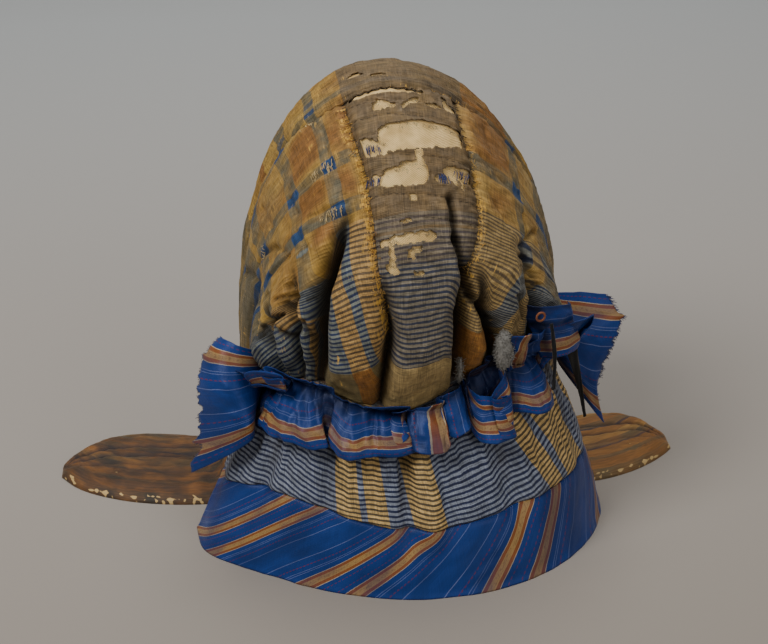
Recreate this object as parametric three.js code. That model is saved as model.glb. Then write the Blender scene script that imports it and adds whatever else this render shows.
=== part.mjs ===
// A quilted silk hood: a wadded crown with a finely quilted brim, gathered into lobes at the neck,
// a striped curtain with a hem band, a pleated ribbon ruffle with two flaring ends, and two padded
// tabs that run down from the cheeks and lie out to both sides.
// Millimetres, +Z up. The face opening looks along +Y and the nape is at -Y. Left is -X.
// The origin is on the surface that the hood stands on, under the middle of its box.
import * as THREE from "three";

const CROWN_WALL = 7;
const CURTAIN_WALL = 3;
const RIBBON_WALL = 1.5;
const TAB_WALL = 9;
const SEAM_GAP = 0.3;

// The hood is drawn round the middle of its curved hem, which lies this far from the box's middle.
const HEM_MIDDLE = { x: 17.4, y: 15.6 };

// Ribs of the crown from the forehead edge (t 0) over the top to the nape (t 1): the middle of each
// rib, its two feet beside the cheeks, and half its width.
const RIBS = [
  { t: 0.0, midY: 76, midZ: 309, footY: 108, footZ: 114, half: 112 },
  { t: 0.14, midY: 46, midZ: 327, footY: 84, footZ: 112, half: 116 },
  { t: 0.28, midY: 8, midZ: 335, footY: 60, footZ: 112, half: 118 },
  { t: 0.42, midY: -28, midZ: 325, footY: 38, footZ: 113, half: 117 },
  { t: 0.56, midY: -62, midZ: 300, footY: 16, footZ: 115, half: 114 },
  { t: 0.7, midY: -88, midZ: 262, footY: -2, footZ: 117, half: 110 },
  { t: 0.84, midY: -102, midZ: 212, footY: -14, footZ: 118, half: 106 },
  { t: 0.94, midY: -101, midZ: 165, footY: -22, footZ: 118, half: 98 },
  { t: 1.0, midY: -90, midZ: 128, footY: -26, footZ: 118, half: 92 },
];
// A rib is a superellipse. The hood leans: its top has moved left and its right side is held up.
const RIB_POWER = { left: 2.06, right: 1.97 };
const FOOT_RISE = { left: -6, right: 22 };
const LEAN = { foot: 3, top: -8 };

// The neck seam rises and falls round the back: s runs from the left foot (-1) to the right one (1).
const NECK_RISE_START = 0.72;
const NECK_RISE = [
  { s: -1.0, rise: 10 },
  { s: -0.5, rise: 14 },
  { s: -0.2, rise: 1 },
  { s: 0.0, rise: -5 },
  { s: 0.25, rise: 8 },
  { s: 0.5, rise: 17 },
  { s: 0.8, rise: 16 },
  { s: 1.0, rise: 8 },
];

// The seam of the brim, and the two seams of the centre panel.
const BRIM_SEAM = [
  { s: -1.0, t: 0.3 },
  { s: -0.6, t: 0.3 },
  { s: -0.3, t: 0.38 },
  { s: 0.0, t: 0.38 },
  { s: 0.3, t: 0.36 },
  { s: 0.6, t: 0.36 },
  { s: 1.0, t: 0.3 },
];
const CENTRE_SEAMS = [
  { t: 0.34, left: -0.18, right: 0.25 },
  { t: 0.48, left: -0.16, right: 0.265 },
  { t: 0.6, left: -0.12, right: 0.3 },
  { t: 0.7, left: -0.1, right: 0.3 },
  { t: 0.79, left: -0.085, right: 0.255 },
  { t: 0.9, left: -0.05, right: 0.24 },
  { t: 1.0, left: -0.1, right: 0.26 },
];

// Creases between the gathered lobes, from where each starts down to the neck seam, in millimetres
// deep and wide. Each deepens over the same stretch of t.
const CREASE_GROWTH = 0.16;
const CREASES = [
  { panel: "left", start: 0.7, head: -0.64, middle: -0.66, neck: -0.7, depth: 9, wide: 8 },
  { panel: "left", start: 0.7, head: -0.45, middle: -0.49, neck: -0.56, depth: 11, wide: 8 },
  { panel: "left", start: 0.64, head: -0.16, middle: -0.34, neck: -0.42, depth: 19, wide: 9 },
  { panel: "seam", start: 0.78, head: -0.075, middle: -0.05, neck: -0.1, depth: 13, wide: 7 },
  { panel: "seam", start: 0.74, head: 0.27, middle: 0.235, neck: 0.265, depth: 16, wide: 7 },
  { panel: "right", start: 0.76, head: 0.29, middle: 0.35, neck: 0.46, depth: 15, wide: 8 },
  { panel: "right", start: 0.66, head: 0.5, middle: 0.57, neck: 0.66, depth: 8, wide: 9 },
];
// A rib is about this many times as long from its middle to a foot as it is wide there. The middles
// of the ribs lie along one length, and their feet along another.
const ARC_PER_HALF = 1.6;
const MIDDLE_LENGTH = 330;
const FOOT_LENGTH = 165;
const RIB_LENGTH = 160;
const LOBE = { start: 0.6, full: 0.88, raise: 10, pinch: 0.94, kept: 0.25, side: 0.8 };

// Upright folds where the sides are drawn in above the neck, on the left (-1) and right (1) side.
const SIDE_FOLDS = [
  { side: -1, t: 0.57, depth: 8, wide: 7 },
  { side: -1, t: 0.3, depth: 4, wide: 8 },
  { side: 1, t: 0.5, depth: 6, wide: 8 },
  { side: 1, t: 0.28, depth: 4, wide: 8 },
];
const SIDE_FOLD_GROWTH = { from: 0.6, to: 0.9 };

// The hem on the standing surface, by turn: -1 at the left front end, 0 at the back, 1 at the right.
const HEM = [
  { turn: -1.0, x: -151, y: -32 },
  { turn: -0.85, x: -146, y: -62 },
  { turn: -0.68, x: -126, y: -83 },
  { turn: -0.45, x: -91, y: -106 },
  { turn: -0.25, x: -52, y: -127 },
  { turn: 0.0, x: 0, y: -139 },
  { turn: 0.25, x: 54, y: -134 },
  { turn: 0.48, x: 100, y: -110 },
  { turn: 0.7, x: 129, y: -77 },
  { turn: 0.87, x: 144, y: -46 },
  { turn: 1.0, x: 148, y: -24 },
];
// How far down the curtain its hem band starts, as a share of the drop from neck to hem.
const BAND_START = [
  { turn: -1.0, drop: 0.6 },
  { turn: -0.5, drop: 0.57 },
  { turn: 0.0, drop: 0.63 },
  { turn: 1.0, drop: 0.66 },
];
// Folds of the curtain, at the neck and at the hem band, positive where they stand out.
const CURTAIN_FOLDS = [
  { neck: -0.85, hem: -0.88, raise: 4, wide: 12 },
  { neck: -0.62, hem: -0.66, raise: -6, wide: 9 },
  { neck: -0.3, hem: -0.34, raise: -4, wide: 10 },
  { neck: -0.02, hem: -0.01, raise: -7, wide: 7 },
  { neck: 0.07, hem: 0.06, raise: 7, wide: 9 },
  { neck: 0.36, hem: 0.4, raise: -6, wide: 9 },
  { neck: 0.8, hem: 0.83, raise: -3, wide: 12 },
];
const CURTAIN_BULGE = 5;
const CURTAIN_HALF_LENGTH = 190;
// The folds grow below the neck seam and fade out over the hem band, as shares of the drop.
const FOLD_GROWTH = { from: 0, to: 0.25, fade: 0.5, end: 0.85 };

// The pleats of the ruffle along the neck seam: how far each stands out at its lower edge, how far
// it hangs below the gathering line, and how far its heading rises above it.
const PLEATS = [
  { from: -0.87, to: -0.36, flare: 17, drop: 38, rise: 5 },
  { from: -0.36, to: 0.04, flare: 18, drop: 33, rise: 4 },
  { from: 0.04, to: 0.12, flare: 11, drop: 28, rise: 9 },
  { from: 0.12, to: 0.21, flare: 10, drop: 26, rise: 8 },
  { from: 0.21, to: 0.46, flare: 20, drop: 46, rise: 5 },
  { from: 0.46, to: 0.68, flare: 16, drop: 40, rise: 6 },
  { from: 0.68, to: 0.86, flare: 13, drop: 32, rise: 9 },
];
const RUFFLE_CLEAR = 3;
const SEWN_CLEAR = RIBBON_WALL / 2 + 0.35;
// The ruffle's directions are those of the curtain at this share of its drop.
const RUFFLE_MIDDLE = 0.3;
// The crown overhangs the neck seam, so the heading leans out by this share of its height, and by
// so much more towards the two ends of the seam.
const HEADING_LEAN = 0.8;
const END_LEAN = { start: 0.45, reach: 25, height: 3 };

// The flaring cut ends of the ribbon: where each leaves the neck seam, how far it reaches above and
// below it there and over what height it eases off the curtain, how it swells, and the two corners
// of its frayed edge.
const TAILS = [
  {
    side: "left", turn: -0.985, rise: 20, drop: 60, ease: 12, billow: 9, flute: 2.5, belly: 9,
    freeTop: [-131, -40, 147], freeLow: [-153, -52, 43],
  },
  {
    side: "right", turn: 0.985, rise: 25, drop: 54, ease: 12, billow: 7, flute: 2, belly: 6,
    freeTop: [152, -26, 166], freeLow: [142, -34, 76],
  },
];

// The underside of each tab, down from the cheek and out along the standing surface, and its two
// edges along Y.
const TAB_LEFT = [
  { x: -104, z: 104.2, near: 22, far: 100 },
  { x: -110, z: 62, near: 14, far: 99 },
  { x: -116, z: 28, near: 6, far: 98 },
  { x: -127, z: 6, near: 1, far: 97 },
  { x: -142, z: 0, near: -1, far: 97 },
  { x: -170, z: 0, near: 1, far: 103 },
  { x: -200, z: 0, near: 8, far: 107 },
  { x: -226, z: 0, near: 20, far: 99 },
  { x: -243, z: 0, near: 33, far: 83 },
  { x: -255, z: 0, near: 49, far: 64 },
];
const TAB_RIGHT = [
  { x: 110, z: 132.7, near: 22, far: 100 },
  { x: 113, z: 80, near: 14, far: 99 },
  { x: 117, z: 32, near: 6, far: 98 },
  { x: 127, z: 7, near: 2, far: 98 },
  { x: 141, z: 0, near: 1, far: 98 },
  { x: 160, z: 0, near: 4, far: 101 },
  { x: 184, z: 0, near: 14, far: 101 },
  { x: 202, z: 0, near: 26, far: 91 },
  { x: 213, z: 0, near: 36, far: 74 },
  { x: 220, z: 0, near: 44, far: 60 },
];
const TAB = { channels: 5, channelDepth: 1.2, edge: 3, round: 14, along: 22, across: 10 };

function silk(color, roughness = 0.6) {
  return new THREE.MeshStandardMaterial({ color, roughness, metalness: 0 });
}
const SILK = {
  brown: silk(0x6b5040),
  taupe: silk(0x6f6550),
  gold: silk(0x9a7338),
  stripe: silk(0x6f6f66),
  blue: silk(0x1f4488, 0.42),
  tab: silk(0x85653a, 0.65),
};

const { lerp, clamp, smoothstep } = THREE.MathUtils;
const rise = (low, high, x) => smoothstep(x, low, high);
const hump = (distance, wide) => Math.exp(-((distance / wide) ** 2));

// A column of a table, followed smoothly between its rows.
function follow(rows, key, column, at) {
  const last = rows.length - 1;
  let i = 0;
  while (i < last - 1 && at > rows[i + 1][key]) i += 1;
  const slope = (k) => {
    const a = rows[Math.max(k - 1, 0)];
    const b = rows[Math.min(k + 1, last)];
    return (b[column] - a[column]) / (b[key] - a[key]);
  };
  const from = rows[i];
  const to = rows[i + 1];
  const span = to[key] - from[key];
  const f = clamp((at - from[key]) / span, 0, 1);
  const ease = f * f * (3 - 2 * f);
  return (
    lerp(from[column], to[column], ease) +
    f * (1 - f) * span * ((1 - f) * slope(i) - f * slope(i + 1))
  );
}

// A point of the crown's base surface, before gathers and quilting.
function crownBase(t, s) {
  const side = s < 0 ? "left" : "right";
  const power = 2 / RIB_POWER[side];
  const turn = (Math.abs(s) * Math.PI) / 2;
  const across = Math.sign(s) * Math.sin(turn) ** power;
  const up = Math.max(Math.cos(turn), 0) ** power;
  const value = (column) => follow(RIBS, "t", column, t);
  const lift = follow(NECK_RISE, "s", "rise", s) * rise(NECK_RISE_START, 1, t);
  return new THREE.Vector3(
    value("half") * across + lerp(LEAN.foot, LEAN.top, up * up),
    lerp(value("footY"), value("midY"), up),
    lerp(value("footZ") + FOOT_RISE[side], value("midZ"), up) + lift,
  );
}

function crownNormal(t, s) {
  const step = 0.004;
  const inS = clamp(s, -0.98, 0.98);
  const inT = clamp(t, step, 1 - step);
  const alongT = crownBase(inT + step, inS).sub(crownBase(inT - step, inS));
  const alongS = crownBase(inT, inS + step).sub(crownBase(inT, inS - step));
  return alongT.cross(alongS).normalize();
}

// Where a crease lies across the crown at t. Above its start it keeps its head's place.
function creaseAt(crease, t) {
  const share = clamp((t - crease.start) / (1 - crease.start), 0, 1);
  return share < 0.5
    ? lerp(crease.head, crease.middle, share * 2)
    : lerp(crease.middle, crease.neck, share * 2 - 1);
}

// How far the lobes stand out, and how deep the creases and side folds cut in, at a point.
function crownPuff(t, s) {
  const ribHalf = follow(RIBS, "t", "half", t);
  const arc = ribHalf * ARC_PER_HALF;
  const pinch = 1 - (1 - LOBE.kept) * rise(LOBE.pinch, 1, t);
  const inside = 1 - rise(LOBE.side, 1, Math.abs(s));
  let raise = LOBE.raise * rise(LOBE.start, LOBE.full, t) * pinch * inside;
  for (const crease of CREASES) {
    const strength = rise(crease.start, crease.start + CREASE_GROWTH, t) * pinch;
    raise -= crease.depth * strength * hump((s - creaseAt(crease, t)) * arc, crease.wide);
  }
  for (const fold of SIDE_FOLDS) {
    const grown = rise(SIDE_FOLD_GROWTH.from, SIDE_FOLD_GROWTH.to, s * fold.side);
    raise -= fold.depth * grown * hump((t - fold.t) * FOOT_LENGTH, fold.wide);
  }
  return raise;
}

// A closed body with its faces turned outwards.
function closedGeometry(points, faces) {
  let volume = 0;
  for (let k = 0; k < faces.length; k += 3) {
    const [a, b, c] = [points[faces[k]], points[faces[k + 1]], points[faces[k + 2]]];
    volume += a.dot(b.clone().cross(c));
  }
  if (volume < 0) faces.reverse();
  const geometry = new THREE.BufferGeometry().setFromPoints(points);
  geometry.setIndex(faces);
  geometry.computeVertexNormals();
  return geometry;
}

// The wall between an outer and an inner grid of points, closed round its four edges.
function wall(outer, inner) {
  const rows = outer.length;
  const columns = outer[0].length;
  const at = (side, i, j) => side * rows * columns + i * columns + j;
  const faces = [];
  const quad = (a, b, c, d) => faces.push(a, b, c, a, c, d);
  for (let i = 0; i < rows - 1; i += 1) {
    for (let j = 0; j < columns - 1; j += 1) {
      quad(at(0, i, j), at(0, i, j + 1), at(0, i + 1, j + 1), at(0, i + 1, j));
      quad(at(1, i, j), at(1, i + 1, j), at(1, i + 1, j + 1), at(1, i, j + 1));
    }
  }
  const lastRow = rows - 1;
  const lastColumn = columns - 1;
  for (let j = 0; j < lastColumn; j += 1) {
    quad(at(0, 0, j), at(1, 0, j), at(1, 0, j + 1), at(0, 0, j + 1));
    quad(at(0, lastRow, j + 1), at(1, lastRow, j + 1), at(1, lastRow, j), at(0, lastRow, j));
  }
  for (let i = 0; i < lastRow; i += 1) {
    quad(at(0, i + 1, 0), at(1, i + 1, 0), at(1, i, 0), at(0, i, 0));
    quad(at(0, i, lastColumn), at(1, i, lastColumn), at(1, i + 1, lastColumn), at(0, i + 1, lastColumn));
  }
  return closedGeometry([...outer.flat(), ...inner.flat()], faces);
}

function grid(rowCount, columnCount, pointAt) {
  return Array.from({ length: rowCount + 1 }, (_, i) =>
    Array.from({ length: columnCount + 1 }, (_, j) => pointAt(i / rowCount, j / columnCount)),
  );
}

// The unit normals of a grid of points, from each point's neighbours.
function gridNormals(points) {
  const rows = points.length;
  const columns = points[0].length;
  return points.map((row, i) =>
    row.map((_, j) => {
      const down = points[Math.min(i + 1, rows - 1)][j].clone().sub(points[Math.max(i - 1, 0)][j]);
      const along = row[Math.min(j + 1, columns - 1)].clone().sub(row[Math.max(j - 1, 0)]);
      return down.cross(along).normalize();
    }),
  );
}

// A sheet of even thickness round a grid of points.
function sheet(points, thickness) {
  const normals = gridNormals(points);
  const layer = (offset) =>
    points.map((row, i) => row.map((p, j) => p.clone().addScaledVector(normals[i][j], offset)));
  return wall(layer(thickness / 2), layer(-thickness / 2));
}

// A padded panel of the crown. place gives t and s from the shares down and across the panel. The
// lining follows the gathers less than the outside does.
function crownPanel(place, rowCount, columnCount) {
  const innerPuff = 0.7;
  const layer = (depth, share) => (down, across) => {
    const { t, s } = place(down, across);
    const lift = crownPuff(t, s) * share - depth;
    return crownBase(t, s).addScaledVector(crownNormal(t, s), lift);
  };
  const outer = grid(rowCount, columnCount, layer(0, 1));
  const inner = grid(rowCount, columnCount, layer(CROWN_WALL, innerPuff));
  return wall(outer, inner);
}

// The gap at a seam, as a step of t and of s. Each side gives way by half of it, and by a little
// more for the flat facets.
const FACET_MARGIN = 1.3;
const STEP_T = (SEAM_GAP * FACET_MARGIN) / 2 / MIDDLE_LENGTH;
const STEP_S = (SEAM_GAP * FACET_MARGIN) / 2 / RIB_LENGTH;
// Rows lie closer together towards the neck, where the crown is gathered.
const CROWDING = 0.35;
const towardsNeck = (share) => share * (1 + CROWDING - CROWDING * share);
// The brim's seam crosses the centre seams at about this t.
const BRIM_CROSSING = 0.36;

// Places a panel's grid between its two edges. Columns run along the panel's creases where it is
// gathered, and are spread evenly above them.
function panelPlace(edgeA, edgeB, panel) {
  const creases = CREASES.filter((crease) => crease.panel === panel);
  const knots = creases.length + 1;
  return (down, across) => {
    const topS = lerp(edgeA(BRIM_CROSSING), edgeB(BRIM_CROSSING), across);
    const top = follow(BRIM_SEAM, "s", "t", topS) + STEP_T;
    const t = lerp(top, 1, towardsNeck(down));
    const a = edgeA(t);
    const b = edgeB(t);
    const stops = creases.map((crease, i) => {
      const gathered = rise(crease.start - CREASE_GROWTH, crease.start, t);
      return lerp(lerp(a, b, (i + 1) / knots), creaseAt(crease, t), gathered);
    });
    const line = [a, ...stops, b];
    const cell = Math.min(Math.floor(across * knots), knots - 1);
    return { t, s: lerp(line[cell], line[cell + 1], across * knots - cell) };
  };
}
const leftSeam = (gap) => (t) => follow(CENTRE_SEAMS, "t", "left", t) + gap;
const rightSeam = (gap) => (t) => follow(CENTRE_SEAMS, "t", "right", t) + gap;

function brimPlace(down, across) {
  const s = lerp(-1, 1, across);
  return { t: lerp(0, follow(BRIM_SEAM, "s", "t", s) - STEP_T * 2, down), s };
}

// A point of the curtain: turn runs round the hood, drop from the neck seam (0) to the hem (1).
function curtainPoint(turn, drop) {
  const neck = crownBase(1, turn);
  neck.z -= SEAM_GAP;
  const hem = new THREE.Vector3(follow(HEM, "turn", "x", turn), follow(HEM, "turn", "y", turn), 0);
  const out = new THREE.Vector3(hem.x - neck.x, hem.y - neck.y, 0).normalize();
  let raise = CURTAIN_BULGE * Math.sin(Math.PI * drop);
  const faded = 1 - rise(FOLD_GROWTH.fade, FOLD_GROWTH.end, drop);
  const grown = rise(FOLD_GROWTH.from, FOLD_GROWTH.to, drop) * faded;
  for (const fold of CURTAIN_FOLDS) {
    const middle = lerp(fold.neck, fold.hem, drop);
    raise += fold.raise * grown * hump((turn - middle) * CURTAIN_HALF_LENGTH, fold.wide);
  }
  return neck.lerp(hem, drop).addScaledVector(out, raise);
}

// The level direction into the hood, square to the curtain.
function curtainInward(turn, drop) {
  const step = 0.01;
  const low = curtainPoint(Math.max(turn - step, -1), drop);
  const high = curtainPoint(Math.min(turn + step, 1), drop);
  return new THREE.Vector3(low.y - high.y, high.x - low.x, 0).normalize();
}

function curtainWall(topDrop, lowDrop, rowCount, columnCount) {
  const layer = (depth) => (down, across) => {
    const turn = lerp(-1, 1, across);
    const drop = lerp(topDrop(turn), lowDrop(turn), down);
    return curtainPoint(turn, drop).addScaledVector(curtainInward(turn, drop), depth);
  };
  return wall(grid(rowCount, columnCount, layer(0)), grid(rowCount, columnCount, layer(CURTAIN_WALL)));
}
const bandStart = (turn) => follow(BAND_START, "turn", "drop", turn);

// The ruffle's columns: each pleat rises from the neck seam, runs along its outer face and returns.
function ruffleColumns() {
  const shape = [
    { at: 0.02, out: 0 },
    { at: 0.08, out: 0.72 },
    { at: 0.28, out: 0.95 },
    { at: 0.5, out: 1 },
    { at: 0.72, out: 0.95 },
    { at: 0.92, out: 0.72 },
  ];
  return PLEATS.flatMap((pleat) =>
    shape.map(({ at, out }) => ({ turn: lerp(pleat.from, pleat.to, at), out, pleat })),
  );
}

// Rows of the ruffle from its heading (above 0) over the gathering line (0) to its lower edge (-1).
const RUFFLE_ROWS = [
  { level: 1, out: 0.22 },
  { level: 0, out: 0.04 },
  { level: -0.2, out: 0.3 },
  { level: -0.5, out: 0.75 },
  { level: -0.8, out: 1 },
  { level: -1, out: 0.96 },
];

// A point beside the neck seam, so many millimetres above it (in front of the crown) or below it
// (on the curtain), standing off outwards.
function besideNeck(turn, level, stand) {
  const out = curtainInward(turn, RUFFLE_MIDDLE).negate();
  const overhang = Math.max(crownPuff(1, turn), 0);
  const above = Math.max(level, 0);
  const end = END_LEAN.reach * rise(END_LEAN.start, 1, Math.abs(turn));
  const lean = HEADING_LEAN * above + end * Math.min(above / END_LEAN.height, 1);
  const point = curtainPoint(turn, Math.max(-level, 0) / crownBase(1, turn).z);
  point.z += above;
  return point.addScaledVector(out, stand + overhang + lean);
}

function rufflePoint(column, row) {
  const { turn, pleat } = column;
  const stand = RUFFLE_CLEAR + pleat.flare * column.out * row.out;
  return besideNeck(turn, row.level * (row.level > 0 ? pleat.rise : pleat.drop), stand);
}

function ruffle() {
  const columns = ruffleColumns();
  const points = RUFFLE_ROWS.map((row) => columns.map((column) => rufflePoint(column, row)));
  return sheet(points, RIBBON_WALL);
}

// One cut end of the ribbon: a flaring sheet that billows backwards, with shallow flutes.
function tail(shape) {
  const outward = shape.side === "left" ? -1 : 1;
  const flutes = 3;
  const freeTop = new THREE.Vector3(...shape.freeTop);
  const freeLow = new THREE.Vector3(...shape.freeLow);
  const points = grid(10, 7, (down, out) => {
    const level = lerp(shape.rise, -shape.drop, down);
    const stand = lerp(SEWN_CLEAR, RUFFLE_CLEAR, rise(-shape.ease, 0, level));
    const inner = besideNeck(shape.turn, level, stand);
    const free = freeTop.clone().lerp(freeLow, down);
    free.x += outward * shape.belly * Math.sin(Math.PI * down);
    const point = inner.lerp(free, out);
    point.y -= shape.billow * Math.sin(Math.PI * down) * Math.sin(Math.PI * 0.7 * out);
    point.y += shape.flute * out * Math.cos(down * flutes * 2 * Math.PI);
    return point;
  });
  return sheet(points, RIBBON_WALL);
}

// Adds the distance run along its profile to each row of a tab's table.
function measured(rows) {
  let run = 0;
  return rows.map((row, i) => {
    if (i > 0) run += Math.hypot(row.x - rows[i - 1].x, row.z - rows[i - 1].z);
    return { ...row, run };
  });
}

// A padded tab: flat underneath, with channels quilted along it and thin rounded edges.
function tab(table) {
  const rows = measured(table);
  const length = rows[rows.length - 1].run;
  const outward = Math.sign(table[0].x);
  const under = (along) => {
    const at = along * length;
    const x = follow(rows, "run", "x", at);
    const z = follow(rows, "run", "z", at);
    return { x, z: Math.max(z, 0) };
  };
  const layer = (share) => (along, across) => {
    const at = under(along);
    const before = under(Math.max(along - 0.01, 0));
    const after = under(Math.min(along + 0.01, 1));
    const run = new THREE.Vector2(after.x - before.x, after.z - before.z).normalize();
    const near = follow(rows, "run", "near", along * length);
    const far = follow(rows, "run", "far", along * length);
    const fromEdge = Math.min(across, 1 - across) * (far - near);
    const fromTip = (1 - along) * length;
    const full = Math.sqrt(Math.min(1, Math.min(fromEdge, fromTip) / TAB.round));
    const channel = Math.abs(Math.sin(across * TAB.channels * Math.PI));
    const thick = lerp(TAB.edge, TAB_WALL, full) + TAB.channelDepth * (channel - 1) * full;
    return new THREE.Vector3(
      at.x - run.y * outward * thick * share,
      lerp(near, far, across),
      at.z + run.x * outward * thick * share,
    );
  };
  return wall(grid(TAB.along, TAB.across, layer(1)), grid(TAB.along, TAB.across, layer(0)));
}

const hood = new THREE.Group();
function add(name, geometry, material) {
  const mesh = new THREE.Mesh(geometry, material);
  mesh.name = name;
  hood.add(mesh);
}

const centrePlace = panelPlace(leftSeam(STEP_S), rightSeam(-STEP_S), "centre");
const leftPlace = panelPlace(() => -1, leftSeam(-STEP_S), "left");
const rightPlace = panelPlace(rightSeam(STEP_S), () => 1, "right");
add("brim_band", crownPanel(brimPlace, 5, 36), SILK.brown);
add("crown_center", crownPanel(centrePlace, 20, 9), SILK.taupe);
add("crown_left", crownPanel(leftPlace, 20, 28), SILK.gold);
add("crown_right", crownPanel(rightPlace, 20, 24), SILK.gold);
const bandGap = SEAM_GAP / 100;
add("curtain", curtainWall(() => 0, (turn) => bandStart(turn) - bandGap, 5, 44), SILK.stripe);
add("hem_band", curtainWall(bandStart, () => 1, 3, 44), SILK.blue);
add("ruffle", ruffle(), SILK.blue);
for (const shape of TAILS) add(`ruffle_tail_${shape.side}`, tail(shape), SILK.blue);
add("tab_left", tab(TAB_LEFT), SILK.tab);
add("tab_right", tab(TAB_RIGHT), SILK.tab);

hood.position.set(HEM_MIDDLE.x, HEM_MIDDLE.y, 0);
export default hood;
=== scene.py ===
import math
from collections import namedtuple

import bpy
import numpy as np
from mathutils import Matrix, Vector


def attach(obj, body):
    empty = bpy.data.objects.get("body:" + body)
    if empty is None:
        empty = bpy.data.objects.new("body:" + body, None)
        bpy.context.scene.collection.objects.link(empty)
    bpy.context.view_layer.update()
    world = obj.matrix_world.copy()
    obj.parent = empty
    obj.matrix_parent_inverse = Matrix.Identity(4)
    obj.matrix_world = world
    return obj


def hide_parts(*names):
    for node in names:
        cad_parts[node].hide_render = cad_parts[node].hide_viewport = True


bl_info = {
    "name": "Quilted silk hood",
    "version": (1, 0, 0),
    "blender": (4, 5, 0),
    "location": "View3D > Sidebar > Hood",
    "description": "Builds the cloth, seams and wear of a quilted silk hood round its packed model",
    "category": "Add Mesh",
}

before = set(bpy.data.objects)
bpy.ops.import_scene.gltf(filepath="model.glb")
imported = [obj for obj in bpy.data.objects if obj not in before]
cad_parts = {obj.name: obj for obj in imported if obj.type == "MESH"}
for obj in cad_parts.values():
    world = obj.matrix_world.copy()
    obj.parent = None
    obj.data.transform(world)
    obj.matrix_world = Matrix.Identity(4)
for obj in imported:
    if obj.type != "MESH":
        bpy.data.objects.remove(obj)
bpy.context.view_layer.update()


def table(kind, *rows):
    """Rows with the named columns of their kind."""
    return [kind(*row) for row in rows]


# The form, in millimetres round the middle of the curved hem, which lies this far from the middle
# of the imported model's box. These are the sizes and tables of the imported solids.
HEM_MIDDLE = (17.4, 15.6, 0.0)
CROWN_WALL = 7.0
CURTAIN_WALL = 3.0
SEAM_GAP = 0.3

Rib = namedtuple("Rib", "t midY midZ footY footZ half")
RIBS = table(
    Rib,
    (0.0, 76, 309, 108, 114, 112), (0.14, 46, 327, 84, 112, 116), (0.28, 8, 335, 60, 112, 118),
    (0.42, -28, 325, 38, 113, 117), (0.56, -62, 300, 16, 115, 114), (0.7, -88, 262, -2, 117, 110),
    (0.84, -102, 212, -14, 118, 106), (0.94, -101, 165, -22, 118, 98), (1.0, -90, 128, -26, 118, 92),
)
RIB_POWER = {"left": 2.06, "right": 1.97}
FOOT_RISE = {"left": -6, "right": 22}
LEAN = {"foot": 3, "top": -8}
NECK_RISE_START = 0.72
Neck = namedtuple("Neck", "s rise")
NECK_RISE = table(
    Neck,
    (-1.0, 10), (-0.5, 14), (-0.2, 1), (0.0, -5),
    (0.25, 8), (0.5, 17), (0.8, 16), (1.0, 8),
)
Seam = namedtuple("Seam", "s t")
BRIM_SEAM = table(
    Seam,
    (-1.0, 0.3), (-0.6, 0.3), (-0.3, 0.38), (0.0, 0.38),
    (0.3, 0.36), (0.6, 0.36), (1.0, 0.3),
)
Gore = namedtuple("Gore", "t left right")
CENTRE_SEAMS = table(
    Gore,
    (0.34, -0.18, 0.25), (0.48, -0.16, 0.265), (0.6, -0.12, 0.3), (0.7, -0.1, 0.3),
    (0.79, -0.085, 0.255), (0.9, -0.05, 0.24), (1.0, -0.1, 0.26),
)
CREASE_GROWTH = 0.16
# dark is how wide the painted shade along a crease is, and beside how far to the right of the crease it
# lies.
Crease = namedtuple("Crease", "start head middle neck depth wide dark beside")
CREASES = table(
    Crease,
    (0.7, -0.64, -0.66, -0.7, 9, 8, 2.5, 0), (0.7, -0.45, -0.49, -0.56, 11, 8, 3.0, 0),
    (0.64, -0.16, -0.34, -0.42, 19, 9, 5.0, -2.5), (0.78, -0.075, -0.05, -0.1, 13, 7, 3.0, 0),
    (0.74, 0.27, 0.235, 0.265, 16, 7, 2.6, 0.5), (0.76, 0.29, 0.35, 0.46, 15, 8, 3.6, 0),
    (0.66, 0.5, 0.57, 0.66, 8, 9, 3.0, 0),
)
ARC_PER_HALF = 1.6
FOOT_LENGTH = 165
LOBE = {"start": 0.6, "full": 0.88, "raise": 10, "pinch": 0.94, "kept": 0.25, "side": 0.8}
SideFold = namedtuple("SideFold", "side t depth wide")
SIDE_FOLDS = [
    SideFold(-1, 0.57, 8, 7), SideFold(-1, 0.3, 4, 8), SideFold(1, 0.5, 6, 8), SideFold(1, 0.28, 4, 8),
]
SIDE_FOLD_GROWTH = {"from": 0.6, "to": 0.9}
Hem = namedtuple("Hem", "turn x y")
HEM = table(
    Hem,
    (-1.0, -151, -32), (-0.85, -146, -62), (-0.68, -126, -83), (-0.45, -91, -106),
    (-0.25, -52, -127), (0.0, 0, -139), (0.25, 54, -134), (0.48, 100, -110),
    (0.7, 129, -77), (0.87, 144, -46), (1.0, 148, -24),
)
Band = namedtuple("Band", "turn drop")
BAND_START = [Band(-1.0, 0.6), Band(-0.5, 0.57), Band(0.0, 0.63), Band(1.0, 0.66)]
Fold = namedtuple("Fold", "neck hem up wide")
CURTAIN_FOLDS = table(
    Fold,
    (-0.85, -0.88, 4, 12), (-0.62, -0.66, -6, 9), (-0.3, -0.34, -4, 10),
    (-0.02, -0.01, -7, 7), (0.07, 0.06, 7, 9), (0.36, 0.4, -6, 9), (0.8, 0.83, -3, 12),
)
CURTAIN_BULGE = 5
CURTAIN_HALF_LENGTH = 190
FOLD_GROWTH = {"from": 0, "to": 0.25, "fade": 0.5, "end": 0.85}
RUFFLE_MIDDLE = 0.3
HEADING_LEAN = 0.8
END_LEAN = {"start": 0.45, "reach": 25, "height": 3}
TabRow = namedtuple("TabRow", "x z near far")
TAB_LEFT = table(
    TabRow,
    (-104, 104.2, 22, 100), (-110, 62, 14, 99), (-116, 28, 6, 98),
    (-127, 6, 1, 97), (-142, 0, -1, 97), (-170, 0, 1, 103), (-200, 0, 8, 107),
    (-226, 0, 20, 99), (-243, 0, 33, 83), (-255, 0, 49, 64),
)
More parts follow.
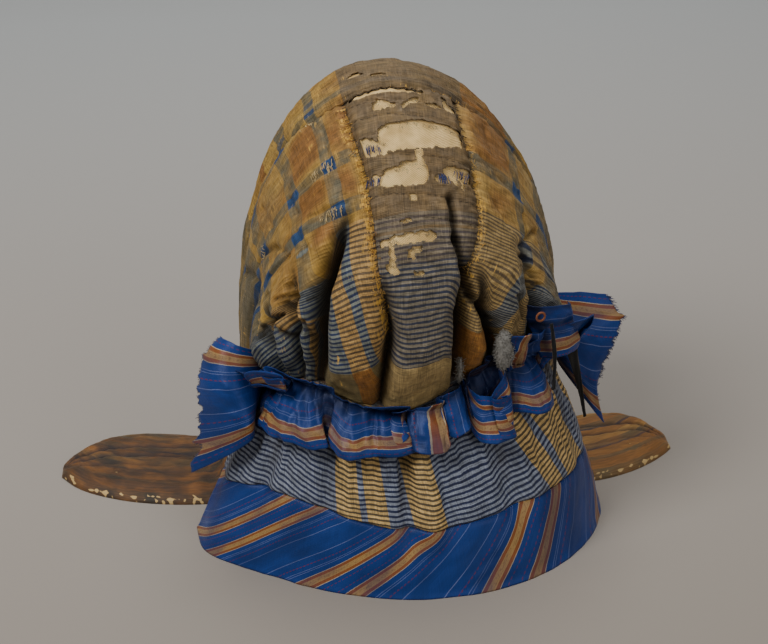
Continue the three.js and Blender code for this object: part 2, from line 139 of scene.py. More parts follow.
TAB_RIGHT = table(
    TabRow,
    (110, 132.7, 22, 100), (113, 80, 14, 99), (117, 32, 6, 98),
    (127, 7, 2, 98), (141, 0, 1, 98), (160, 0, 4, 101), (184, 0, 14, 101),
    (202, 0, 26, 91), (213, 0, 36, 74), (220, 0, 44, 60),
)
TAB = {"wall": 9, "round": 14}

# Across the crown, one unit of s is about this many millimetres of cloth.
CLOTH_PER_S = 180.0


def lerp(a, b, f):
    return a + (b - a) * f


def rise(low, high, x):
    f = np.clip((x - low) / (high - low), 0, 1)
    return f * f * (3 - 2 * f)


def hump(distance, wide):
    return np.exp(-((distance / wide) ** 2))


def unit(v):
    return v / np.maximum(np.linalg.norm(v, axis=-1, keepdims=True), 1e-9)


def follow(rows, key, column, at):
    """A column of a table, followed smoothly between its rows."""
    keys = np.array([getattr(row, key) for row in rows], float)
    values = np.array([getattr(row, column) for row in rows], float)
    last = len(rows) - 1
    before = np.maximum(np.arange(last + 1) - 1, 0)
    after = np.minimum(np.arange(last + 1) + 1, last)
    slopes = (values[after] - values[before]) / (keys[after] - keys[before])
    at = np.asarray(at, float)
    i = np.clip(np.searchsorted(keys, at, side="left") - 1, 0, last - 1)
    span = keys[i + 1] - keys[i]
    f = np.clip((at - keys[i]) / span, 0, 1)
    ease = f * f * (3 - 2 * f)
    bend = f * (1 - f) * span * ((1 - f) * slopes[i] - f * slopes[i + 1])
    return lerp(values[i], values[i + 1], ease) + bend


def noise(x, y, cell, seed):
    """Smooth noise from -1 to 1 on a plane in millimetres, with bumps about one cell wide."""
    size = 256
    lattice = np.random.default_rng(seed).uniform(-1, 1, (size, size))
    u, v = np.broadcast_arrays(x / cell, y / cell)
    i, j = np.floor(u).astype(int), np.floor(v).astype(int)
    f, g = u - i, v - j
    f, g = f * f * (3 - 2 * f), g * g * (3 - 2 * g)
    i, j, k, m = i % size, j % size, (i + 1) % size, (j + 1) % size
    low = lerp(lattice[i, j], lattice[k, j], f)
    return lerp(low, lerp(lattice[i, m], lattice[k, m], f), g)


def crown_base(t, s):
    """Points of the crown before gathers and quilting: t runs back over the head, s across it."""
    t, s = np.broadcast_arrays(np.asarray(t, float), np.asarray(s, float))
    left = s < 0
    power = np.where(left, 2 / RIB_POWER["left"], 2 / RIB_POWER["right"])
    turn = np.abs(s) * np.pi / 2
    across = np.sign(s) * np.sin(turn) ** power
    up = np.maximum(np.cos(turn), 0) ** power
    foot_rise = np.where(left, FOOT_RISE["left"], FOOT_RISE["right"])
    lift = follow(NECK_RISE, "s", "rise", s) * rise(NECK_RISE_START, 1, t)
    x = follow(RIBS, "t", "half", t) * across + lerp(LEAN["foot"], LEAN["top"], up * up)
    y = lerp(follow(RIBS, "t", "footY", t), follow(RIBS, "t", "midY", t), up)
    z = lerp(follow(RIBS, "t", "footZ", t) + foot_rise, follow(RIBS, "t", "midZ", t), up) + lift
    return np.stack([x, y, z], -1)


def crown_normal(t, s):
    step = 0.004
    inside_s = np.clip(s, -0.98, 0.98)
    inside_t = np.clip(t, step, 1 - step)
    along_t = crown_base(inside_t + step, inside_s) - crown_base(inside_t - step, inside_s)
    along_s = crown_base(inside_t, inside_s + step) - crown_base(inside_t, inside_s - step)
    return unit(np.cross(along_t, along_s))


def crease_at(crease, t):
    share = np.clip((t - crease.start) / (1 - crease.start), 0, 1)
    low = lerp(crease.head, crease.middle, share * 2)
    high = lerp(crease.middle, crease.neck, share * 2 - 1)
    return np.where(share < 0.5, low, high)


def crown_puff(t, s):
    """How far the lobes stand out of the base, and the creases and side folds cut in."""
    arc = follow(RIBS, "t", "half", t) * ARC_PER_HALF
    pinch = 1 - (1 - LOBE["kept"]) * rise(LOBE["pinch"], 1, t)
    inside = 1 - rise(LOBE["side"], 1, np.abs(s))
    puff = LOBE["raise"] * rise(LOBE["start"], LOBE["full"], t) * pinch * inside
    for crease in CREASES:
        strength = rise(crease.start, crease.start + CREASE_GROWTH, t) * pinch
        puff = puff - crease.depth * strength * hump((s - crease_at(crease, t)) * arc, crease.wide)
    for fold in SIDE_FOLDS:
        grown = rise(SIDE_FOLD_GROWTH["from"], SIDE_FOLD_GROWTH["to"], s * fold.side)
        puff = puff - fold.depth * grown * hump((t - fold.t) * FOOT_LENGTH, fold.wide)
    return puff


# The length of cloth down the middle of the crown, in millimetres from the forehead edge.
MIDLINE_T = np.linspace(0, 1, 401)
MIDLINE_STEPS = np.linalg.norm(np.diff(crown_base(MIDLINE_T, 0.0), axis=0), axis=1)
MIDLINE_RUN = np.concatenate([[0], np.cumsum(MIDLINE_STEPS)])


def down_cloth(t):
    return np.interp(t, MIDLINE_T, MIDLINE_RUN)


def curtain_point(turn, drop):
    """A point of the curtain: turn runs round the hood, drop from the neck seam to the hem."""
    turn, drop = np.broadcast_arrays(np.asarray(turn, float), np.asarray(drop, float))
    neck = crown_base(1.0, turn)
    neck[..., 2] -= SEAM_GAP
    hem = np.stack([follow(HEM, "turn", "x", turn), follow(HEM, "turn", "y", turn), 0 * turn], -1)
    out = hem - neck
    out[..., 2] = 0
    out = unit(out)
    up = CURTAIN_BULGE * np.sin(np.pi * drop)
    grown = rise(FOLD_GROWTH["from"], FOLD_GROWTH["to"], drop)
    grown = grown * (1 - rise(FOLD_GROWTH["fade"], FOLD_GROWTH["end"], drop))
    for fold in CURTAIN_FOLDS:
        middle = lerp(fold.neck, fold.hem, drop)
        up = up + fold.up * grown * hump((turn - middle) * CURTAIN_HALF_LENGTH, fold.wide)
    return lerp(neck, hem, drop[..., None]) + out * up[..., None]


def curtain_inward(turn, drop):
    """The level direction into the hood, square to the curtain."""
    step = 0.01
    low = curtain_point(np.maximum(turn - step, -1), drop)
    high = curtain_point(np.minimum(turn + step, 1), drop)
    level = np.stack([low[..., 1] - high[..., 1], high[..., 0] - low[..., 0], 0 * low[..., 0]], -1)
    return unit(level)


def beside_neck(turn, level, stand):
    """A point so many millimetres above or below the neck seam, standing off outwards."""
    turn, level, stand = np.broadcast_arrays(turn, level, stand)
    out = -curtain_inward(turn, RUFFLE_MIDDLE)
    overhang = np.maximum(crown_puff(1.0, turn), 0)
    above = np.maximum(level, 0)
    end = END_LEAN["reach"] * rise(END_LEAN["start"], 1, np.abs(turn))
    lean = HEADING_LEAN * above + end * np.minimum(above / END_LEAN["height"], 1)
    point = curtain_point(turn, np.maximum(-level, 0) / crown_base(1.0, turn)[..., 2])
    point[..., 2] += above
    return point + out * (stand + overhang + lean)[..., None]


# Meshes. Every piece is gathered as grids of points in millimetres, then made in metres. This is
# how finely each is drawn.
Grid = namedtuple("Grid", "rows columns")
GRIDS = {
    "centre": Grid(270, 105), "centre_wall": Grid(90, 40),
    "left": Grid(220, 140), "left_wall": Grid(75, 50),
    "right": Grid(210, 125), "right_wall": Grid(75, 46),
    "brim": Grid(150, 150), "brim_wall": Grid(36, 90),
    "curtain": Grid(66, 330), "neck_tape": Grid(5, 120), "hem": Grid(44, 290),
    "flap": Grid(36, 36), "ring": Grid(33, 13), "ribbon_end": Grid(110, 56),
    "tab": Grid(140, 72), "tuft": Grid(28, 33), "tie": Grid(60, 7), "backdrop": Grid(90, 12),
}
RIBBON_ROWS = {"below": 28, "above": 13}
RIBBON_STEP = 1.15
FULL_TURN = (0, 2 * np.pi)


def grid_lines(name, down=(0, 1), across=(0, 1)):
    """Even steps down and across the named grid, between the given ends."""
    grid = GRIDS[name]
    return np.linspace(*down, grid.rows)[:, None], np.linspace(*across, grid.columns)[None, :]


def grid_quads(rows, columns, keep=None):
    i, j = np.meshgrid(np.arange(rows - 1), np.arange(columns - 1), indexing="ij")
    corner = i * columns + j
    quads = np.stack([corner, corner + 1, corner + columns + 1, corner + columns], -1)
    return (quads if keep is None else quads[keep]).reshape(-1, 4)


def grid_normals(points):
    """Unit normals of a grid of points, from each point's neighbours."""
    down = np.gradient(points, axis=0)
    along = np.gradient(points, axis=1)
    return unit(np.cross(down, along))


# The values that a material reads at each point: how worn the silk is, how much painted shade darkens it
# in folds, grooves and gaps, and whether its colour leans to amber (above 0) or to grey (below 0).
VALUES = ("wear", "shade", "tone")


class Gathered:
    """The grids of one piece before its mesh is made."""

    def __init__(self):
        self.points, self.faces, self.cloth = [], [], []
        self.values, self.slots, self.count = {name: [] for name in VALUES}, [], 0

    def add(self, points, faces, cloth, slot=0, **values):
        points = points.reshape(-1, 3)
        self.points.append(points)
        self.faces.append(faces + self.count)
        self.cloth.append(np.broadcast_to(cloth, points.shape[:1] + (2,)))
        for name in VALUES:
            self.values[name].append(np.broadcast_to(np.ravel(values.get(name, 0.0)), points.shape[:1]))
        self.slots.append(np.full(len(faces), slot))
        self.count += len(points)

    def add_shell(self, outer, inner, cloth, slot=0, inner_slot=None, keep=None, **values):
        """Two grids, outer and inner, closed along every free edge."""
        rows, columns = outer.shape[:2]
        count = rows * columns
        top = grid_quads(rows, columns, keep)
        edges = np.concatenate([top[:, [0, 1]], top[:, [1, 2]], top[:, [2, 3]], top[:, [3, 0]]])
        forward = edges[:, 0] * count + edges[:, 1]
        backward = edges[:, 1] * count + edges[:, 0]
        free = edges[~np.isin(forward, backward)]
        sides = np.stack([free[:, 1], free[:, 0], free[:, 0] + count, free[:, 1] + count], -1)
        faces = np.concatenate([top, sides, top[:, ::-1] + count])
        points = np.concatenate([outer.reshape(-1, 3), inner.reshape(-1, 3)])
        first, second, _, third = points[top[0]]
        out = np.cross(second - first, third - first) @ (points[top[0]][0] - points[top[0][0] + count])
        if out < 0:
            faces = faces[:, ::-1]
        doubled = {
            name: np.tile(np.broadcast_to(value, (rows, columns)).ravel(), 2)
            for name, value in values.items()
        }
        self.add(points, faces, np.tile(cloth.reshape(-1, 2), (2, 1)), slot, **doubled)
        if inner_slot is not None:
            self.slots[-1][len(top) + len(sides):] = inner_slot

    def add_sheet(self, points, thickness, cloth, **settings):
        """A sheet of even thickness round a grid of points."""
        offset = grid_normals(points) * thickness / 2
        self.add_shell(points + offset, points - offset, cloth, **settings)

    def add_strands(self, lines, radius, slot=0):
        """Thin threads: lines is an array of strands, each a row of points."""
        count, steps = lines.shape[:2]
        along = unit(np.gradient(lines, axis=1))
        other = np.where(np.abs(along[..., 2:3]) > 0.9, [1.0, 0.0, 0.0], [0.0, 0.0, 1.0])
        side = unit(np.cross(along, other))
        over = np.cross(along, side)
        radius = np.broadcast_to(np.asarray(radius, float).reshape(-1, 1, 1), (count, steps, 1))
        ring = np.stack([side, over, -side, -over], 2) * radius[..., None]
        points = lines[:, :, None, :] + ring
        corner = np.arange(count * steps).reshape(count, steps) * 4
        k = np.arange(4)
        near, far = corner[:, :-1, None] + k, corner[:, 1:, None] + k
        turn = (k + 1) % 4
        near_next, far_next = corner[:, :-1, None] + turn, corner[:, 1:, None] + turn
        sides = np.stack([near, near_next, far_next, far], -1).reshape(-1, 4)
        caps = np.concatenate([corner[:, :1] + k[::-1], corner[:, -1:] + k])
        faces = np.concatenate([sides, caps])
        self.add(points, faces, np.zeros(2), slot)

    def make(self, name, materials):
        """The mesh object in metres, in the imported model's frame, without unused points."""
        if not any(len(faces) for faces in self.faces):
            raise RuntimeError(f"{name} has no faces")
        points = np.concatenate(self.points)
        faces = np.concatenate(self.faces)
        used, faces = np.unique(faces, return_inverse=True)
        faces = faces.reshape(-1, 4)
        points = (points[used] + HEM_MIDDLE) / 1000
        mesh = bpy.data.meshes.new(name)
        mesh.vertices.add(len(points))
        mesh.vertices.foreach_set("co", points.astype(np.float32).ravel())
        mesh.loops.add(faces.size)
        mesh.loops.foreach_set("vertex_index", faces.astype(np.int32).ravel())
        mesh.polygons.add(len(faces))
        mesh.polygons.foreach_set("loop_start", np.arange(0, faces.size, 4, dtype=np.int32))
        mesh.polygons.foreach_set("material_index", np.concatenate(self.slots).astype(np.int32))
        mesh.polygons.foreach_set("use_smooth", np.ones(len(faces), bool))
        cloth = np.concatenate(self.cloth)[used] / 1000
        layer = mesh.uv_layers.new(name="cloth")
        layer.data.foreach_set("uv", cloth[faces.ravel()].astype(np.float32).ravel())
        for key, rows in self.values.items():
            values = np.concatenate(rows)[used].astype(np.float32)
            mesh.attributes.new(key, "FLOAT", "POINT").data.foreach_set("value", values)
        mesh.update(calc_edges=True)
        mesh.validate()
        for material in materials:
            mesh.materials.append(material)
        piece = bpy.data.objects.new(name, mesh)
        bpy.context.scene.collection.objects.link(piece)
        return piece


def size_of(name):
    """One of the panel's sizes, in millimetres."""
    return getattr(bpy.context.scene.hood_sizes, name) * 1000


def colour_of(name):
    """One of the panel's colours, as linear red, green, blue and alpha."""
    return tuple(getattr(bpy.context.scene.hood_colours, name))


def shared(*names):
    """Materials that several pieces share, by their names."""
    return [bpy.data.materials[name] for name in names]


def settle(piece, slot, *nodes):
    """Gives a piece its body and hides the nodes that it stands for. slot is not used."""
    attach(piece, "root")
    if nodes:
        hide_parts(*nodes)
    return piece


# Colours and material nodes.
def linear(code, alpha=1.0):
    """An sRGB hex value as linear red, green, blue and alpha."""
    channels = [int(code[i:i + 2], 16) / 255 for i in (1, 3, 5)]
    return [c / 12.92 if c <= 0.04045 else ((c + 0.055) / 1.055) ** 2.4 for c in channels] + [alpha]


# The nodes that the materials use, by plain names: the node's type, its settings, the inputs that
# values go to in turn, and its output. Without an output the node itself is given.
Kind = namedtuple("Kind", "type settings inputs output")
MATHS = (
    "add", "subtract", "multiply", "divide", "maximum", "fract", "absolute", "sine", "pingpong", "compare",
)
KINDS = {
    **{name: Kind("ShaderNodeMath", {"operation": name.upper()}, (0, 1, 2), 0) for name in MATHS},
    **{name: Kind("ShaderNodeAttribute", {"attribute_name": name}, (), "Fac") for name in VALUES},
    "range": Kind("ShaderNodeMapRange", {}, (0, 1, 2, 3, 4), 0),
    "mix": Kind("ShaderNodeMix", {"data_type": "RGBA"}, ("Factor", 6, 7), 2),
    "tint": Kind("ShaderNodeMix", {"data_type": "RGBA", "blend_type": "MULTIPLY"}, ("Factor", 6, 7), 2),
    "steps": Kind("ShaderNodeValToRGB", {}, ("Fac",), None),
    "channels": Kind("ShaderNodeSeparateColor", {}, ("Color",), None),
    "split": Kind("ShaderNodeSeparateXYZ", {}, (0,), None),
    "cloth": Kind("ShaderNodeUVMap", {"uv_map": "cloth"}, (), 0),
    "position": Kind("ShaderNodeNewGeometry", {}, (), "Position"),
    "noise": Kind("ShaderNodeTexNoise", {}, ("Vector", "Scale", "Detail"), "Fac"),
    "colour_noise": Kind("ShaderNodeTexNoise", {}, ("Vector", "Scale", "Detail"), "Color"),
    "add_vectors": Kind("ShaderNodeVectorMath", {"operation": "ADD"}, (0, 1), 0),
    "multiply_vectors": Kind("ShaderNodeVectorMath", {"operation": "MULTIPLY"}, (0, 1), 0),
    "scale_vector": Kind("ShaderNodeVectorMath", {"operation": "SCALE"}, (0, "Scale"), 0),
    "bump": Kind("ShaderNodeBump", {}, ("Height", "Distance", "Strength"), 0),
    "surface": Kind("ShaderNodeBsdfPrincipled", {}, ("Base Color", "Roughness", "IOR"), 0),
    "output": Kind("ShaderNodeOutputMaterial", {}, ("Surface",), None),
}


def node(tree, kind, *values, **named):
    """Adds a node with its settings and input values, and links it. Values go to the inputs in the
    order that KINDS gives; other inputs are given by name."""
    entry = KINDS[kind]
    new = tree.nodes.new(entry.type)
    for key, value in entry.settings.items():
        setattr(new, key, value)
    for key, value in (*zip(entry.inputs, values), *named.items()):
        if isinstance(value, bpy.types.NodeSocket):
            tree.links.new(value, new.inputs[key])
        else:
            new.inputs[key].default_value = value
    return new if entry.output is None else new.outputs[entry.output]


def bands(tree, coordinate, rows, low, high):
    """Colours in bands along a coordinate in metres. A row is where a band starts and its colour."""
    span = node(tree, "subtract", coordinate, low)
    share = node(tree, "divide", span, high - low)
    ramp = node(tree, "steps", share)
    ramp.color_ramp.interpolation = "CONSTANT"
    stops = ramp.color_ramp.elements
    for k, (start, colour) in enumerate(rows):
        place = min(max((start - low) / (high - low), 0), 1)
        stop = stops[0] if k == 0 else stops.new(place)
        stop.position = place
        stop.color = colour if len(colour) == 4 else (*colour, 1)
        if k == 0:
            stops.remove(stops[1])
    return ramp.outputs["Color"]


def cloth_uv(tree, jitter=0.0003):
    """The cloth's own two coordinates in metres, a little uneven as hand-woven threads are."""
    uv = node(tree, "cloth")
    waver = node(tree, "colour_noise", uv, 700.0, 1.0)
    centred = node(tree, "add_vectors", waver, (-0.5, -0.5, -0.5))
    moved = node(tree, "add_vectors", uv, node(tree, "scale_vector", centred, jitter * 2))
    split = node(tree, "split", moved).outputs
    return uv, split["X"], split["Y"]


def stretched_noise(tree, uv, across, along, detail=2.0):
    """Noise in streaks: across and along are the sizes of a streak in millimetres."""
    vector = node(tree, "multiply_vectors", uv, (1000 / across, 1000 / along, 1))
    return node(tree, "noise", vector, 1.0, detail)


def new_material(name):
    material = bpy.data.materials.new(name)
    material.use_nodes = True
    material.node_tree.nodes.clear()
    return material, material.node_tree


def finish_cloth(tree, colour, height, depth, roughness, sheen, sheen_tint="#d8c8a8", gloss="#ffffff"):
    """The shader of a woven cloth: a rough dielectric with a soft sheen, bumped by its threads."""
    finish = {
        "Specular IOR Level": 0.35,
        "Specular Tint": linear(gloss),
        "Sheen Weight": sheen,
        "Sheen Roughness": 0.4,
        "Sheen Tint": linear(sheen_tint),
        "Normal": node(tree, "bump", height, depth / 1000, 1.0),
    }
    node(tree, "output", node(tree, "surface", colour, roughness, 1.5, **finish))


# Materials. First the colours of the plaid silks, then those of the other cloths and of their painted
# shade.
HUES = {
    "pinGold": "#8f784a", "pinGrey": "#706b56", "navyGold": "#4a3f30", "navyBlue": "#232b3f",
    "olive": "#6c5d3b", "orange": "#8a5c29", "brown": "#5f4f3c",
}
DYES_AND_SHADES = {
    "silk_fold": "#1d1712", "twill_stain": "#cba566", "twill_fold": "#0d0a08", "lining_dark": "#574232",
    "ribbon_white": "#a8977a", "ribbon_hairline": "#626c95", "ribbon_orange": "#804a22",
    "ribbon_red": "#6b2a40", "ribbon_pick": "#6d4a2c", "ribbon_deep": "#13234a",
    "ribbon_rubbed": "#2b3048", "ribbon_fold": "#0b1024", "tab_amber": "#8a5826",
    "tab_soil": "#2a241f", "tab_wadding": "#c0a068", "tab_fold": "#14121a",
}


# Metres from one rib of the taffeta, line of the twill and red pick of the ribbon to the next.
RIB_SPACING = 0.0009
TWILL_SPACING = 0.0013
PICK_SPACING = 0.0023


def dye_or_shade(name):
    return linear(DYES_AND_SHADES[name])


def plaid_silk(name, warp, weft, spacing, worn="#cf9f45", hues=None):
    """Hand-woven plaid silk taffeta, much faded and rubbed: the eye sees dull gold, grey where blue
    crosses gold, blue only where blue crosses blue, and fine ribs along the weft.

    warp and weft are rows of a start in millimetres and three amounts. For the warp they are blue,
    amber and brown; for the weft blue, pin stripes and plain. spacing widens the pin stripes."""
    material, tree = new_material(name)
    uv, x, y = cloth_uv(tree)

    def channels(coordinate, rows):
        metres = [(start / 1000, amount) for start, amount in rows]
        colour = bands(tree, coordinate, metres, metres[0][0] - 0.001, metres[-1][0] + 0.001)
        return node(tree, "channels", colour).outputs

    hue = {key: colour_of(key) for key in ("gold", "amber", "grey", "blue")}
    hue.update({key: linear(code) for key, code in {**HUES, **(hues or {})}.items()})
    warps, wefts = channels(x, warp), channels(y, weft)
    blue_share = node(tree, "multiply", node(tree, "add", warps[0], wefts[0]), 0.5)
    patches = stretched_noise(tree, uv, 26, 30, 3.0)
    tone = node(tree, "tone")
    amber_share = node(tree, "add", node(tree, "range", patches, 0.42, 0.68, 0, 0.6), tone)
    amber_share = node(tree, "range", node(tree, "add", amber_share, warps[1]), 0.0, 1.0)
    ground = node(tree, "mix", amber_share, hue["gold"], hue["amber"])
    ground = node(tree, "mix", node(tree, "range", tone, 0.0, -1.0), ground, hue["grey"])
    faded = node(tree, "range", stretched_noise(tree, uv, 13, 15, 3.0), 0.36, 0.6, 0.35, 1.0)
    single = node(tree, "multiply", node(tree, "range", blue_share, 0.0, 0.5), faded)
    single = node(tree, "maximum", single, node(tree, "range", blue_share, 0.5, 0.6))
    crossed = node(tree, "mix", single, ground, hue["grey"])
    crossed = node(tree, "mix", node(tree, "range", blue_share, 0.5, 1.0), crossed, hue["blue"])
    crossed = node(tree, "mix", warps[2], crossed, hue["brown"])
    pin_period = spacing * bpy.context.scene.hood_sizes.pin_spacing
    beat = node(tree, "fract", node(tree, "divide", y, pin_period))
    pin = node(tree, "absolute", node(tree, "subtract", beat, 0.5))
    pin = node(tree, "range", pin, 0.17, 0.29)
    light = node(tree, "mix", warps[0], hue["pinGold"], hue["pinGrey"])
    dark = node(tree, "mix", warps[0], hue["navyGold"], hue["navyBlue"])
    striped = node(tree, "mix", pin, dark, light)
    colour = node(tree, "mix", wefts[1], crossed, striped)
    plain = node(tree, "mix", warps[0], hue["orange"], hue["olive"])
    colour = node(tree, "mix", wefts[2], colour, plain)
    # Slubs of single threads, drawn two to three times as coarse as the real ones to show.
    along_weft = stretched_noise(tree, uv, 11, 0.75)
    along_warp = stretched_noise(tree, uv, 0.8, 13)
    streaks = node(tree, "add", along_weft, along_warp)
    gain = node(tree, "range", streaks, 0.65, 1.35, 0.5, 1.55)
    colour = node(tree, "tint", 1.0, colour, gain)
    soiled = node(tree, "range", stretched_noise(tree, uv, 9, 7, 4.0), 0.35, 0.65, 0.74, 1.12)
    colour = node(tree, "tint", 1.0, colour, soiled)
    # Rubbed places show bright broken threads.
    rubbed = node(tree, "add", node(tree, "wear"), node(tree, "range", along_warp, 0.3, 0.75, -0.55, 0.35))
    colour = node(tree, "mix", node(tree, "range", rubbed, 0.35, 0.65), colour, linear(worn))
    # Painted shade darkens the folds.
    colour = node(tree, "mix", node(tree, "shade"), colour, dye_or_shade("silk_fold"))
    rib = node(tree, "sine", node(tree, "multiply", y, 2 * math.pi / RIB_SPACING))
    height = node(tree, "add", node(tree, "multiply", rib, 0.25), streaks)
    rough = node(tree, "range", patches, 0.3, 0.7, 0.5, 0.66)
    finish_cloth(tree, colour, height, 0.3, rough, 0.12, "#d8c8a8", "#f2ead6")
    return material


RIBBON_WIDTH = 88.0


def ribbon_silk(name):
    """Royal blue taffeta ribbon with woven stripes near both edges: a crisp closely woven silk, so
    the eye sees deep colour with a soft broad gloss and faint cross ribs."""
    material, tree = new_material(name)
    uv, x, y = cloth_uv(tree, 0.00012)
    blue, cream = colour_of("ribbon_blue"), colour_of("ribbon_tan")
    white, hair, orange, red = (dye_or_shade(f"ribbon_{name}") for name in ("white", "hairline", "orange", "red"))
    # Where each stripe starts, in millimetres from an edge of the ribbon.
    rows = [
        (0.0, blue), (3.0, red), (3.6, blue), (7.0, white), (7.6, orange), (9.9, cream), (14.2, orange),
        (16.5, white), (17.1, blue), (21.3, hair), (21.7, blue), (22.9, hair), (23.3, blue),
        (27.2, red), (27.8, blue), (34.0, hair), (34.4, blue),
    ]
    folded = node(tree, "pingpong", y, RIBBON_WIDTH / 2000)
    colour = bands(tree, folded, [(start / 1000, c) for start, c in rows], -0.001, 0.045)
    # The thin red lines are dotted.
    dots = node(tree, "fract", node(tree, "divide", x, PICK_SPACING))
    near_edge = node(tree, "compare", folded, 0.0033, 0.00035)
    near_hair = node(tree, "compare", folded, 0.0275, 0.00035)
    near_red = node(tree, "add", near_edge, near_hair)
    gap = node(tree, "multiply", near_red, node(tree, "range", dots, 0.5, 0.55))
    colour = node(tree, "mix", gap, colour, blue)
    threads = stretched_noise(tree, uv, 0.45, 18)
    picks = stretched_noise(tree, uv, 22, 0.5)
    streaks = node(tree, "add", threads, picks)
    gain = node(tree, "range", streaks, 0.6, 1.4, 0.8, 1.2)
    colour = node(tree, "tint", 1.0, colour, gain)
    # The tan stripe is figured with small brown picks.
    picked = node(tree, "compare", folded, 0.01205, 0.0013)
    figure = node(tree, "range", stretched_noise(tree, uv, 1.2, 0.9), 0.52, 0.6, 0, 0.55)
    picked = node(tree, "multiply", picked, figure)
    colour = node(tree, "mix", picked, colour, dye_or_shade("ribbon_pick"))
    faded = stretched_noise(tree, uv, 30, 22, 3.0)
    colour = node(tree, "mix", node(tree, "range", faded, 0.4, 0.62, 0.0, 0.5), colour, dye_or_shade("ribbon_deep"))
    colour = node(tree, "mix", node(tree, "wear"), colour, dye_or_shade("ribbon_rubbed"))
    # Painted shade darkens the folds.
    colour = node(tree, "mix", node(tree, "shade"), colour, dye_or_shade("ribbon_fold"))
    finish_cloth(tree, colour, streaks, 0.12, 0.4, 0.08, "#8fa4e0", "#aab4dc")
    return material


def twill_cotton(name):
    """Unbleached cotton twill under the silk: matt, cream, with a fine diagonal rib, foxed by age."""
    material, tree = new_material(name)
    uv, x, y = cloth_uv(tree, 0.0001)
    slant = node(tree, "add", node(tree, "multiply", x, 0.75), y)
    rib = node(tree, "sine", node(tree, "multiply", slant, 2 * math.pi / TWILL_SPACING))
    stains = stretched_noise(tree, uv, 9, 9, 4.0)
    stained = node(tree, "range", stains, 0.35, 0.75)
    colour = node(tree, "mix", stained, colour_of("twill"), dye_or_shade("twill_stain"))
    gain = node(tree, "range", rib, -1, 1, 0.88, 1.08)
    colour = node(tree, "tint", 1.0, colour, gain)
    # Painted shade darkens the twill in folds and where the silk covers it.
    colour = node(tree, "mix", node(tree, "shade"), colour, dye_or_shade("twill_fold"))
    finish_cloth(tree, colour, rib, 0.15, 0.85, 0.1)
    return material


def lining_cotton(name):
    """Glazed brown cotton lining: plain weave, slightly shiny from its glaze."""
    material, tree = new_material(name)
    uv = cloth_uv(tree, 0.0001)[0]
    threads = node(tree, "add", stretched_noise(tree, uv, 0.5, 8), stretched_noise(tree, uv, 8, 0.5))
    patches = stretched_noise(tree, uv, 30, 30, 3.0)
    darker = node(tree, "range", patches, 0.3, 0.7)
    colour = node(tree, "mix", darker, colour_of("lining"), dye_or_shade("lining_dark"))
    colour = node(tree, "tint", 1.0, colour, node(tree, "range", threads, 0.6, 1.4, 0.82, 1.15))
    finish_cloth(tree, colour, threads, 0.1, 0.6, 0.15)
    return material


def spun_fibre(name, code, roughness):
    """Loose thread or wadding: matt fibres of one dyed colour, a little uneven along their length."""
    material, tree = new_material(name)
    uneven = node(tree, "noise", node(tree, "position"), 900.0)
    gain = node(tree, "range", uneven, 0.3, 0.7, 0.75, 1.2)
    colour = node(tree, "tint", 1.0, linear(code), gain)
    finish_cloth(tree, colour, uneven, 0.05, roughness, 0.3)
    return material


def painted_board(name, near, middle, far):
    """Smooth matt backdrop paper with painted light: darker and warmer in front, paler and cooler behind.
    """
    material, tree = new_material(name)
    depth = node(tree, "split", node(tree, "position")).outputs["Y"]
    colour = node(tree, "mix", node(tree, "range", depth, -0.55, 0.35), linear(near), linear(middle))
    colour = node(tree, "mix", node(tree, "range", depth, 0.35, 1.3), colour, linear(far))
    node(tree, "output", node(tree, "surface", colour, 0.9, 1.45))
    return material


# The crown. Tears in the centre panel, with half sizes in millimetres of cloth; lean is how much
# one falls for each millimetre to the right.
Tear = namedtuple("Tear", "t s high wide lean")
TEARS = table(
    Tear,
    (0.398, -0.03, 3.2, 25, -0.06), (0.448, -0.052, 3.2, 2.0, 0), (0.438, -0.035, 2.2, 2.5, 0.3),
    (0.450, -0.012, 1.3, 3.5, 0), (0.441, 0.055, 2.2, 3.0, -0.9), (0.432, 0.078, 1.6, 4.5, -0.35),
    (0.433, 0.165, 1.3, 5.0, -0.1), (0.425, 0.235, 3.0, 6.5, -0.1), (0.410, 0.200, 3.5, 1.0, 0),
    (0.530, 0.000, 9.5, 10, -0.1), (0.522, 0.090, 10, 13, -0.15), (0.515, 0.170, 9.0, 9.0, -0.2),
    (0.511, 0.235, 6.0, 6.0, 0), (0.548, -0.112, 6.0, 6.5, 0.3), (0.554, -0.065, 4.2, 6.0, 0),
    (0.582, 0.083, 8.0, 1.8, 0), (0.624, -0.080, 3.4, 8.5, 0), (0.619, 0.000, 5.8, 9.0, -0.1),
    (0.612, 0.055, 8.0, 9.5, -0.15), (0.608, 0.095, 3.0, 3.0, 0), (0.597, 0.235, 4.2, 11, -0.2),
    (0.592, 0.280, 3.0, 4.0, 0.2), (0.612, 0.215, 3.0, 0.9, 0), (0.614, 0.245, 3.5, 0.9, 0),
    (0.617, 0.170, 2.8, 4.5, 0), (0.662, 0.050, 1.6, 1.6, 0), (0.707, 0.015, 1.0, 3.0, -0.2),
    (0.736, 0.050, 2.9, 13.5, -0.13), (0.743, -0.050, 1.2, 7.0, -0.1), (0.765, -0.035, 8.0, 1.3, 0),
    (0.787, -0.040, 2.2, 3.0, 0.4), (0.763, 0.030, 3.0, 2.0, 0), (0.757, 0.050, 1.1, 5.0, -0.1),
    (0.796, 0.060, 0.9, 2.5, 0),
)
